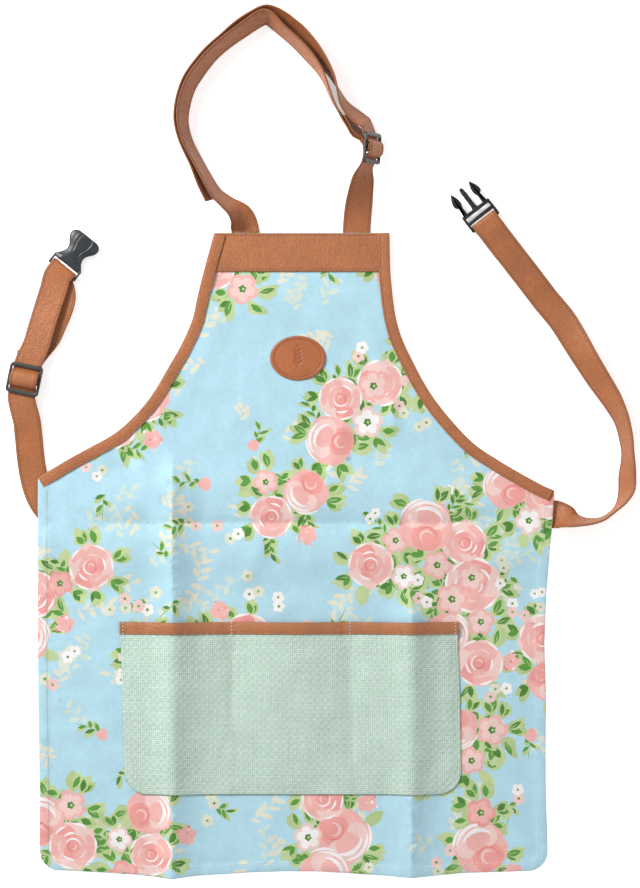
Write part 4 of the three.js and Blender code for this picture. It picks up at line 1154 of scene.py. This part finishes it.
# across and up as shares of the strap's reach, roll in degrees, lift off the table
neckFixed = [
    (-0.267, -0.156, 0, 0), (-0.266, -0.076, 0, 0), (-0.267, -0.013, 0, 0), (-0.271, 0.018, 0, 0),
    (-0.288, 0.067, -22, 0), (-0.329, 0.112, -52, 0), (-0.406, 0.172, -64, 0), (-0.451, 0.239, -68, 0),
    (-0.497, 0.317, -69.5, 0), (-0.548, 0.411, -68.5, 0), (-0.569, 0.496, -68, 0),
    (-0.562, 0.573, -65.6, 0), (-0.538, 0.645, -66, 0), (-0.504, 0.701, -65, 0), (-0.435, 0.783, -67, 0),
    (-0.36, 0.846, -67, 0), (-0.286, 0.896, -65, 0), (-0.218, 0.94, -63, 0), (-0.177, 0.959, -62, 0),
    (-0.149, 0.949, -66, 0), (-0.096, 0.902, -71, 0), (-0.026, 0.844, -71.5, 0), (0.038, 0.781, -72.5, 0),
    (0.091, 0.716, -80, 0), (0.123, 0.652, -86, 0), (0.154, 0.58, -90, 0), (0.2, 0.509, -98, 0.5),
    (0.234, 0.471, -105, 1.2), (0.26, 0.438, -111, 2.6),
]
neckRunning = [
    (0.264, -0.156, 0, 0), (0.265, -0.076, 0, 0), (0.265, -0.013, 0, 0), (0.266, 0.022, 0, 0.3),
    (0.272, 0.094, -8, 1.5), (0.282, 0.165, -22, 3.2), (0.296, 0.241, -40, 4.2),
]
neckReturn = [(0.271, 0.446, -69, 2.6), (0.244, 0.479, -75, 1.2), (0.211, 0.519, -82, 0.5)]
neckTail = [
    (0.305, 0.487, -60, 3.6), (0.256, 0.522, -60, 2), (0.202, 0.578, -72, 0.5), (0.152, 0.689, -96, 0),
    (0.077, 0.796, -112, 0), (0, 0.882, -116, 0), (-0.05, 0.922, -116, 0), (-0.098, 0.955, -116, 0),
    (-0.165, 0.982, -112, 0), (-0.227, 0.955, -115, 0), (-0.299, 0.912, -115, 0), (-0.37, 0.856, -113, 0),
    (-0.445, 0.794, -113, 0), (-0.516, 0.71, -115, 0), (-0.551, 0.652, -114, 0), (-0.575, 0.575, -114, 0),
    (-0.583, 0.495, -112, 0), (-0.56, 0.406, -111, 0), (-0.512, 0.308, -110, 0), (-0.473, 0.219, -112, 0),
    (-0.433, 0.143, -112, 0),
]
leftLower = [
    (0.101, -0.081, 0, 0), (0.042, -0.037, 0, 0), (0.007, 0.015, 0, 0), (-0.013, 0.073, 0, 0),
    (-0.026, 0.147, 0, 0.4), (-0.033, 0.22, 0, 2), (-0.039, 0.286, 3, 4.5),
]
leftUpper = [(-0.005, 0.571, 9, 5), (0.029, 0.684, 10, 5), (0.057, 0.77, 5, 6)]
leftBack = [(0.079, 0.79, 178, 0.2), (0.088, 0.745, 174, 0.5), (0.073, 0.689, 172, 0), (0.035, 0.604, 173, 0)]
rightRoute = [
    (-0.129, 0, 0, 0), (-0.069, 0, 0, 0), (-0.021, 0, 0, 0), (0.005, 0, 0, 0), (0.021, -0.005, 18, 0),
    (0.038, -0.011, 42, 0), (0.057, -0.017, 60, 0), (0.082, -0.02, 73, 0), (0.109, -0.02, 80, 0),
    (0.144, -0.012, 86, 0), (0.177, 0.012, 87, 0), (0.2, 0.039, 76, 0), (0.215, 0.074, 60, 0),
    (0.217, 0.113, 57, 0), (0.219, 0.152, 64, 0), (0.218, 0.188, 69, 0), (0.214, 0.224, 66, 0),
    (0.2, 0.284, 61, 0), (0.171, 0.344, 47, 0), (0.132, 0.405, 36, 0), (0.095, 0.465, 28, 0),
    (0.06, 0.525, 17, 0), (0.023, 0.585, 6, 0), (-0.026, 0.645, 0, 0.2), (-0.072, 0.705, 0, 1),
    (-0.119, 0.765, 0, 2.7), (-0.165, 0.824, 0, 4.2),
]
# along the fitting and height over its middle
halfRun = [(12.5, -3.1), (10.6, -2.6), (9, -0.9), (7.7, 1.5), (6.4, 3.8), (4.4, 5.2), (2, 5.6)]
runningLayer = [(-along, up) for along, up in halfRun] + [(0, 5.6)] + halfRun[::-1]
wrapLayer = [
    (3.5, -4.7), (1.2, -3.3), (-2.4, -3.05), (-3.7, -1.7), (-3.7, 1.7), (-2.4, 3.1), (2.4, 3.1),
    (3.75, 1.7), (3.8, -0.4), (4.6, -2),
]
barWrap = [(-2.4, 3.0), (2.4, 3.0), (3.7, 1.7), (3.7, -1.7), (2.4, -3.0), (-2.4, -3.0)]


def strapRoute(table, originX, originY, reachX, reachY):  # rows of place and width direction
    keys = np.array([(originX + a * reachX, originY + u * reachY, roll, lift) for a, u, roll, lift in table])
    rows = []
    for i in range(len(keys) - 1):
        a, b = keys[max(0, i - 1)], keys[i]
        c, d = keys[i + 1], keys[min(len(keys) - 1, i + 2)]
        for t in (0, 0.5):
            rows.append(0.5 * (2 * b + (c - a) * t + (2 * a - 5 * b + 4 * c - d) * t * t
                               + (3 * b - a - 3 * c + d) * t ** 3))
    rows.append(keys[-1])
    out = []
    for i, (x, y, degrees, lift) in enumerate(rows):
        dx, dy = (rows[min(len(rows) - 1, i + 1)] - rows[max(0, i - 1)])[:2]
        length, roll = math.hypot(dx, dy), math.radians(degrees)
        z = strapValues["width"] / 2 * abs(math.sin(roll)) + strapValues["thickness"] / 2 * abs(math.cos(roll))
        out.append((x, y, z + lift + 0.05, math.cos(roll) * dy / length, -math.cos(roll) * dx / length, math.sin(roll)))
    return out


def fittingFrame(x, y, z, heading, roll):
    heading, roll = math.radians(heading), math.radians(roll)
    along = Vector((math.sin(heading), math.cos(heading), 0))
    width = Vector((math.cos(roll) * math.cos(heading), -math.cos(roll) * math.sin(heading), math.sin(roll)))
    return {"middle": Vector((x, y, z)), "along": along, "width": width, "normal": width.cross(along)}


def threaded(fitting, table):
    return [(*(fitting["middle"] + fitting["along"] * along + fitting["normal"] * up), *fitting["width"])
            for along, up in table]


neckSliderFrame = fittingFrame(neckX + 0.339 * neckAcross, bibTop + 0.373 * neckUp, 19.3, 3, -62)
waistSliderFrame = fittingFrame(waistLeft - 0.048 * leftReach, leftY + 0.445 * leftReach, 10.8, 11.8, 6)
femaleFrame = fittingFrame(waistLeft + 0.09 * leftReach, leftY + 0.846 * leftReach, 4.7, 38.6, 0)
maleFrame = fittingFrame(waistRight - 0.207 * rightReach, rightY + 0.879 * rightReach, 4.7, -37.4, 0)


def makeStrap(name, rows):
    step = strapValues["step"]
    fine = throughPoints(rows, lambda a, b: max(1, min(9, math.ceil(float(np.linalg.norm((b - a)[:3])) / step))))
    half, t, end = strapValues["width"] / 2, strapValues["thickness"] / 2, strapValues["seamEnd"]
    seamAt = half - strapValues["stitchInset"]
    side = [(half - 1.0, t), (half - 0.3, t * 0.7), (half, 0), (half - 0.3, -t * 0.7), (half - 1.0, -t)]
    face = [(seamAt + 1, t), (seamAt + 0.6, t), (seamAt, t - 0.16), (seamAt - 0.6, t), (seamAt - 1, t), (6, t + 0.05)]
    section = [(-w, n) for w, n in face] + [(w, n) for w, n in face[::-1]] + side
    section += [(w, -n) for w, n in face] + [(-w, -n) for w, n in face[::-1]] + [(-w, -n) for w, n in side]
    places, widths = fine[:, :3], fine[:, 3:]
    along = np.empty_like(places)
    along[1:-1] = places[2:] - places[:-2]
    along[0], along[-1] = places[1] - places[0], places[-1] - places[-2]
    along /= np.linalg.norm(along, axis=1)[:, None]
    flat = widths - along * np.sum(widths * along, axis=1)[:, None]
    flat /= np.linalg.norm(flat, axis=1)[:, None]
    normal = np.cross(flat, along)
    rings = [[place(*(p + f * w + n * h)) for w, h in section] for p, f, n in zip(places, flat, normal)]
    verts, faces = ringLoft(rings)
    made = meshObject(name, verts, faces, strapLeather)
    shade = [1.0 if abs(w) > half - 1.2 else (0.6 if abs(abs(w) - seamAt) < 0.8 else 0.0) for w, _ in section]
    addFloat(made.data, "edge", shade * len(rings))
    for w in (-seamAt, seamAt):
        for h in (-t - 0.06, t + 0.06):
            line = [place(*p) for p in (places + flat * w + normal * h)[end:-end]]
            seamsOfTan.append([(x, y, max(z, 0.0003)) for x, y, z in line])
    return made


def neckRoute(table):
    return strapRoute(table, neckX, bibTop, neckAcross, neckUp)


def leftRoute(table):
    return strapRoute(table, waistLeft, leftY, leftReach, leftReach)


neckLeft = makeStrap("neck_strap_fixed", neckRoute(neckFixed) + threaded(neckSliderFrame, [
    (10, -9.7), (6.5, -7.2), *wrapLayer, (8.2, -5.4), (11.9, -8)]) + neckRoute(neckReturn))
neckRight = makeStrap("neck_strap_running", neckRoute(neckRunning) + threaded(neckSliderFrame, [
    (-20, -6), (-16, -4), *runningLayer, (16, -4), (20, -6)]) + neckRoute(neckTail))
waistLeftStrap = makeStrap(
    "waist_strap_slider_side",
    leftRoute(leftLower) + threaded(waistSliderFrame, [(-19, -3.2), *runningLayer, (19, -3.2)])
    + leftRoute(leftUpper) + threaded(femaleFrame, [(-8, 3.0), *barWrap, (-7, -3.5)])
    + leftRoute(leftBack) + threaded(waistSliderFrame, [
        (22, -8.1), (12.5, -7.9), (9, -7.2), (6, -6), *wrapLayer, (6.3, -3.7), (9, -4.9), (12.5, -5.5), (20, -5.7),
        (30, -5.8)]))
waistRightStrap = makeStrap(
    "waist_strap_prong_side",
    strapRoute(rightRoute, waistRight, rightY, rightReach, rightReach)
    + threaded(maleFrame, [(-9, 3.0), *barWrap, (-9, -3.3), (-24, -3.5), (-40, -3.55)]))
print("straps made")

# sliders and buckle halves
sliderValues = {"width": 36.4, "length": 33.3, "thickness": 3.4, "bar": 4.5, "rail": 2.8, "corner": 4.2}
socketValues = {"barWidth": 4.4, "halfThickness": 3.35, "lensRise": 0.9, "domeRise": 0.9, "barLength": 17.3,
                "groove": 0.9, "grooveWidth": 0.05}
prongValues = {"width": 36.2, "bar": 4.2, "rail": 2.8, "thickness": 3.4, "armThickness": 4.2}
greyPlastic = plasticMaterial("grey_plastic", (60, 58, 56), 0.36)
slatePlastic = plasticMaterial("slate_plastic", (40, 45, 50), 0.42)
blackPlastic = plasticMaterial("black_plastic", (26, 27, 29), 0.33)


def roundedLoop(halfX, halfY, radius, perCorner=7, perSide=6):
    points = []
    for k, (sx, sy) in enumerate(((1, 1), (-1, 1), (-1, -1), (1, -1))):
        for j in range(perCorner):
            angle = math.pi / 2 * (k + j / (perCorner - 1))
            points.append(polar(sx * (halfX - radius), sy * (halfY - radius), radius, angle))
        nx, ny = ((-1, 1), (-1, -1), (1, -1), (1, 1))[k]
        endX, endY = nx * (halfX - radius), ny * (halfY - radius)
        end = (endX + nx * radius, endY) if k % 2 else (endX, endY + ny * radius)
        start = points[-1]
        for j in range(1, perSide):
            points.append((start[0] + (end[0] - start[0]) * j / perSide, start[1] + (end[1] - start[1]) * j / perSide))
    return points


def framePart(halfX, halfY, corner, rail, bar, thickness, centreY=0.0):  # a ring whose four sides are rounded bars
    outer = roundedLoop(halfX, halfY, corner)
    inner = roundedLoop(halfX - rail, halfY - bar, 1.2)
    h = thickness / 2
    section = [(0, -0.55), (0, 0.55), (0.1, 0.86), (0.3, 1), (0.7, 1), (0.9, 0.86), (1, 0.55), (1, -0.55),
               (0.9, -0.86), (0.7, -1), (0.3, -1), (0.1, -0.86)]
    verts, faces = [], []
    for (ox, oy), (ix, iy) in zip(outer, inner):
        verts += [(ox + (ix - ox) * t, oy + (iy - oy) * t + centreY, z * h) for t, z in section]
    count, rings = len(section), len(outer)
    for i in range(rings):
        for j in range(count):
            a, b = i * count, (i + 1) % rings * count
            k = (j + 1) % count
            faces.append((a + j, a + k, b + k, b + j))
    return verts, faces


def barPart(halfLength, width, thickness, centreX=0.0, centreY=0.0, upright=False):  # a rounded bar along x, or along y
    w, t = width / 2, thickness / 2
    ring = [(-w, -t * 0.5), (-w, t * 0.5), (-w * 0.75, t * 0.88), (-w * 0.35, t), (w * 0.35, t), (w * 0.75, t * 0.88),
            (w, t * 0.5), (w, -t * 0.5), (w * 0.75, -t * 0.88), (w * 0.35, -t), (-w * 0.35, -t), (-w * 0.75, -t * 0.88)]
    rings = []
    for along, shrink in ((-1, 0.6), (-0.99, 0.85), (-0.96, 1), (0.96, 1), (0.99, 0.85), (1, 0.6)):
        row = [(along * halfLength, u * shrink, v * shrink) for u, v in ring]
        rings.append([(centreX + (u if upright else x), centreY + (x if upright else u), v) for x, u, v in row])
    return ringLoft(rings)


def platePart(corners, thickness, roundOff=0.9):  # a flat part with softened rims, from a smooth outline
    closed = throughPoints([(*p, 0) for p in corners[-2:] + corners + corners[:2]], 5)[:, :2]
    line = closed[10:-10]
    ahead = np.roll(line, -1, axis=0) - np.roll(line, 1, axis=0)
    ahead /= np.linalg.norm(ahead, axis=1)[:, None]
    inward = pairs(-ahead[:, 1], ahead[:, 0])
    area = 0.5 * float(np.sum(line[:, 0] * np.roll(line[:, 1], -1) - np.roll(line[:, 0], -1) * line[:, 1]))
    inward *= 1 if area > 0 else -1
    rings = []
    for share, inset in ((-1, 1), (-0.82, 0.45), (-0.5, 0), (0.5, 0), (0.82, 0.45), (1, 1)):
        rings.append([(x, y, share * thickness / 2) for x, y in line + inward * inset * roundOff])
    return ringLoft(rings)


def joinParts(name, fitting, parts, material, sharp=50):
    verts, faces = [], []
    middle, across, along, up = (fitting[key] for key in ("middle", "width", "along", "normal"))
    for partVerts, partFaces in parts:
        base = len(verts)
        verts += [tuple(place(*(middle + across * x + along * y + up * z))) for x, y, z in partVerts]
        faces += [tuple(base + v for v in face) for face in partFaces]
    made = meshObject(name, verts, faces, material)
    made.data.set_sharp_from_angle(angle=math.radians(sharp))
    return made


def makeSlider(name, fitting):
    v = sliderValues
    return joinParts(name, fitting, [
        framePart(v["width"] / 2, v["length"] / 2, v["corner"], v["rail"], v["bar"], v["thickness"]),
        barPart(v["width"] / 2 - 1.2, v["bar"], v["thickness"] * 0.94),
    ], greyPlastic)


def power(value, exponent):
    return math.copysign(abs(value) ** exponent, value)


# along the half, half width, share of the thickness
socketStations = [
    (7, 17.0, 0.52), (8, 17.7, 0.8), (11, 16.9, 1), (14, 14.4, 1), (18, 11.7, 1), (22, 10.7, 1), (26, 11.6, 1),
    (30, 14.4, 1), (33.5, 16.9, 1), (37, 18.0, 1), (40, 17.8, 0.97), (42.6, 16.2, 0.92), (44.3, 13.8, 0.84),
    (45.0, 11.6, 0.76),
]
socketInside = [
    (44.6, 10.6, 0.62), (40, 13.4, 0.66), (34, 12.6, 0.66), (28, 9.2, 0.66), (20, 8.4, 0.62), (14, 8.6, 0.5),
]
# across and along
prongArm = [
    (10.9, 17.6), (10.3, 22), (10.3, 27), (8.8, 31.5), (8.7, 36), (9.9, 41), (12.2, 45.4), (14.6, 42),
    (16.8, 37), (17.5, 33), (16.6, 30.0), (14.2, 28.2), (12.9, 25.5), (13.4, 21), (15.4, 17.6),
]
prongMiddle = [
    (-3.3, 17.4), (-2.7, 22), (-2.6, 34), (-2.5, 41), (-1.5, 44.8), (1.5, 44.8), (2.5, 41), (2.6, 34), (2.7, 22),
    (3.3, 17.4),
]


def makeSocket(name, fitting):
    v, stations = socketValues, throughPoints(socketStations, 5)
    columns = [0, 0.12, 0.24, 0.34, 0.42, 0.46, 0.5, 0.54, 0.58, 0.66, 0.76, 0.85, 0.92, 0.97]
    over = [(u, (1 - abs(u) ** 3.2) ** 0.5) for u in columns[::-1] + [-u for u in columns[1:]]]
    around = [(1, 0)] + over + [(-1, 0)] + [(u, -v) for u, v in over[::-1]]
    rings = []
    for along, half, share in stations:
        ring = []
        for u, side in around:
            dome = math.hypot(half * u / 12.5, (along - 8) / 10.5)
            grown = float(smooth(19, 25, along))
            rise = v["lensRise"] * (1 - float(smooth(0.3, 0.5, abs(u)))) * grown
            rise += v["domeRise"] * (1 - float(smooth(0.8, 1.0, dome)))
            groove = v["groove"] * math.exp(-(((abs(u) - 0.5) / v["grooveWidth"]) ** 2)) * grown
            z = side * v["halfThickness"] * share
            z += math.copysign((rise - groove) * min(1, abs(side) * 1.2), side)
            ring.append((half * u, along, z))
        rings.append(ring)
    for along, half, share in socketInside:
        rings.append([(half * u, along, power(side, 0.6) * v["halfThickness"] * share) for u, side in around])
    return joinParts(name, fitting, [
        ringLoft(rings), barPart(v["barLength"], v["barWidth"], 3.2),
        barPart(6.2, 2.4, 3.6, -16.8, 3.8, True), barPart(6.2, 2.4, 3.6, 16.8, 3.8, True),
    ], slatePlastic, 40)


def makeProngs(name, fitting):
    v = prongValues
    return joinParts(name, fitting, [
        framePart(v["width"] / 2, 10.5, 1.8, v["rail"], v["bar"], v["thickness"], 8.4),
        barPart(v["width"] / 2 - 1, v["bar"], v["thickness"] * 0.94, 0, 8.6),
        platePart(prongArm, v["armThickness"]), platePart([(-x, y) for x, y in prongArm[::-1]], v["armThickness"]),
        platePart(prongMiddle, 3.0, 0.7), barPart(6, 0.8, 0.7, 0, 33, True),
    ], blackPlastic, 40)


def plainMesh(thing):  # what the modifiers give, as a mesh of its own
    graph = bpy.context.evaluated_depsgraph_get()
    mesh = bpy.data.meshes.new_from_object(thing.evaluated_get(graph), depsgraph=graph)
    thing.modifiers.clear()
    thing.data = mesh
    mesh.name = thing.name
    mesh.polygons.foreach_set("use_smooth", [True] * len(mesh.polygons))
    return thing


neckSlider = makeSlider("neck_slider_body", neckSliderFrame)
waistSlider = makeSlider("waist_slider_body", waistSliderFrame)
female = makeSocket("socket_half", femaleFrame)
male = makeProngs("prong_half", maleFrame)
print("fittings made")

# stitches, made by Geometry Nodes along the seams
stitchValues = {"pitch": 3.3, "length": 2.5, "width": 0.62, "seed": 3}


def stitchTree():
    tree = bpy.data.node_groups.new("stitch_rows", "GeometryNodeTree")
    tree.interface.new_socket("Seams", in_out="INPUT", socket_type="NodeSocketGeometry")
    for label, kind in (("Pitch", "NodeSocketFloat"), ("Stitch Length", "NodeSocketFloat"),
                        ("Thread Width", "NodeSocketFloat"), ("Thread", "NodeSocketMaterial")):
        tree.interface.new_socket(label, in_out="INPUT", socket_type=kind)
    tree.interface.new_socket("Stitches", in_out="OUTPUT", socket_type="NodeSocketGeometry")
    inputs = tree.nodes.new("NodeGroupInput")
    outputs = tree.nodes.new("NodeGroupOutput")
    curve = addNode(tree, "GeometryNodeMeshToCurve", {"Mesh": inputs.outputs["Seams"]})
    resample = addNode(tree, "GeometryNodeResampleCurve", {
        "Curve": curve.outputs[0], "Length": inputs.outputs["Pitch"]}, mode="LENGTH")
    bead = addNode(tree, "GeometryNodeMeshIcoSphere", {"Radius": 0.5, "Subdivisions": 1})
    size = addNode(tree, "ShaderNodeCombineXYZ", {
        0: inputs.outputs["Stitch Length"], 1: inputs.outputs["Thread Width"], 2: inputs.outputs["Thread Width"]})
    shaped = addNode(tree, "GeometryNodeTransform", {"Geometry": bead.outputs[0], "Scale": size.outputs[0]})
    tangent = addNode(tree, "GeometryNodeInputTangent")
    wobble = addNode(tree, "FunctionNodeRandomValue", {"Min": (-0.1,) * 3, "Max": (0.1,) * 3}, data_type="FLOAT_VECTOR")
    wobble.inputs["Seed"].default_value = stitchValues["seed"]
    aim = addNode(tree, "ShaderNodeVectorMath", {0: tangent.outputs[0], 1: wobble.outputs[0]}, operation="ADD")
    turn = addNode(tree, "FunctionNodeAlignEulerToVector", {"Vector": aim.outputs[0]}, axis="X")
    spots = addNode(tree, "GeometryNodeInstanceOnPoints", {
        "Points": resample.outputs[0], "Instance": shaped.outputs[0], "Rotation": turn.outputs[0]})
    real = addNode(tree, "GeometryNodeRealizeInstances", {0: spots.outputs[0]})
    painted = addNode(tree, "GeometryNodeSetMaterial", {"Geometry": real.outputs[0], "Material": inputs.outputs["Thread"]})
    tree.links.new(painted.outputs[0], outputs.inputs[0])
    return tree


def makeStitches(name, seams, thread, tree):
    verts, edges = [], []
    for seam in seams:
        start = len(verts)
        verts += [tuple(p) for p in seam]
        edges += [(start + k, start + k + 1) for k in range(len(seam) - 1)]
    mesh = bpy.data.meshes.new(name)
    mesh.from_pydata(verts, edges, [])
    made = bpy.data.objects.new(name, mesh)
    bpy.context.collection.objects.link(made)
    rows = made.modifiers.new("rows", "NODES")
    rows.node_group = tree
    named = {item.name: item.identifier for item in tree.interface.items_tree if item.in_out == "INPUT"}
    rows[named["Pitch"]] = stitchValues["pitch"] / 1000
    rows[named["Stitch Length"]] = stitchValues["length"] / 1000
    rows[named["Thread Width"]] = stitchValues["width"] / 1000
    rows[named["Thread"]] = thread
    return plainMesh(made)


def hemSeams():
    line = evenly(offsetLine(evenly(hemLine, 600), -9.4), 500)[4:-4]
    seamsOfCream.append(place(line[:, 0], line[:, 1], panelHeight(line[:, 0], line[:, 1]) + 0.12))


hemSeams()
stitchRows = stitchTree()
creamStitches = makeStitches("cream_stitches", seamsOfCream, creamThread, stitchRows)
tanStitches = makeStitches("tan_stitches", seamsOfTan, tanThread, stitchRows)
print("stitches made:", len(creamStitches.data.polygons) + len(tanStitches.data.polygons), "faces")

# what each piece stands for, and what it lies on
for piece, node, slot in (
    (panel, "main_panel", "print_cloth"), (leftEdging, "left_binding", "leather"), (rightEdging, "right_binding", "leather"),
    (band, "top_band", "leather"), (pocket, "pocket_panel", "mesh_cloth"), (pocketEdging, "pocket_binding", "leather"),
    (badge, "badge", "leather"), (neckLeft, "neck_strap_left", "leather"), (neckRight, "neck_strap_right", "leather"),
    (waistLeftStrap, "waist_strap_left", "leather"), (waistRightStrap, "waist_strap_right", "leather"),
    (neckSlider, "neck_slider", "grey_plastic"), (waistSlider, "waist_slider", "grey_plastic"),
    (female, "female_buckle", "slate_plastic"), (male, "male_buckle", "black_plastic"),
):
    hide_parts(node)
    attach(piece, "root")
for stitches, slot in ((creamStitches, "print_cloth"), (tanStitches, "leather")):
    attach(stitches, "root")

print("all pieces placed")
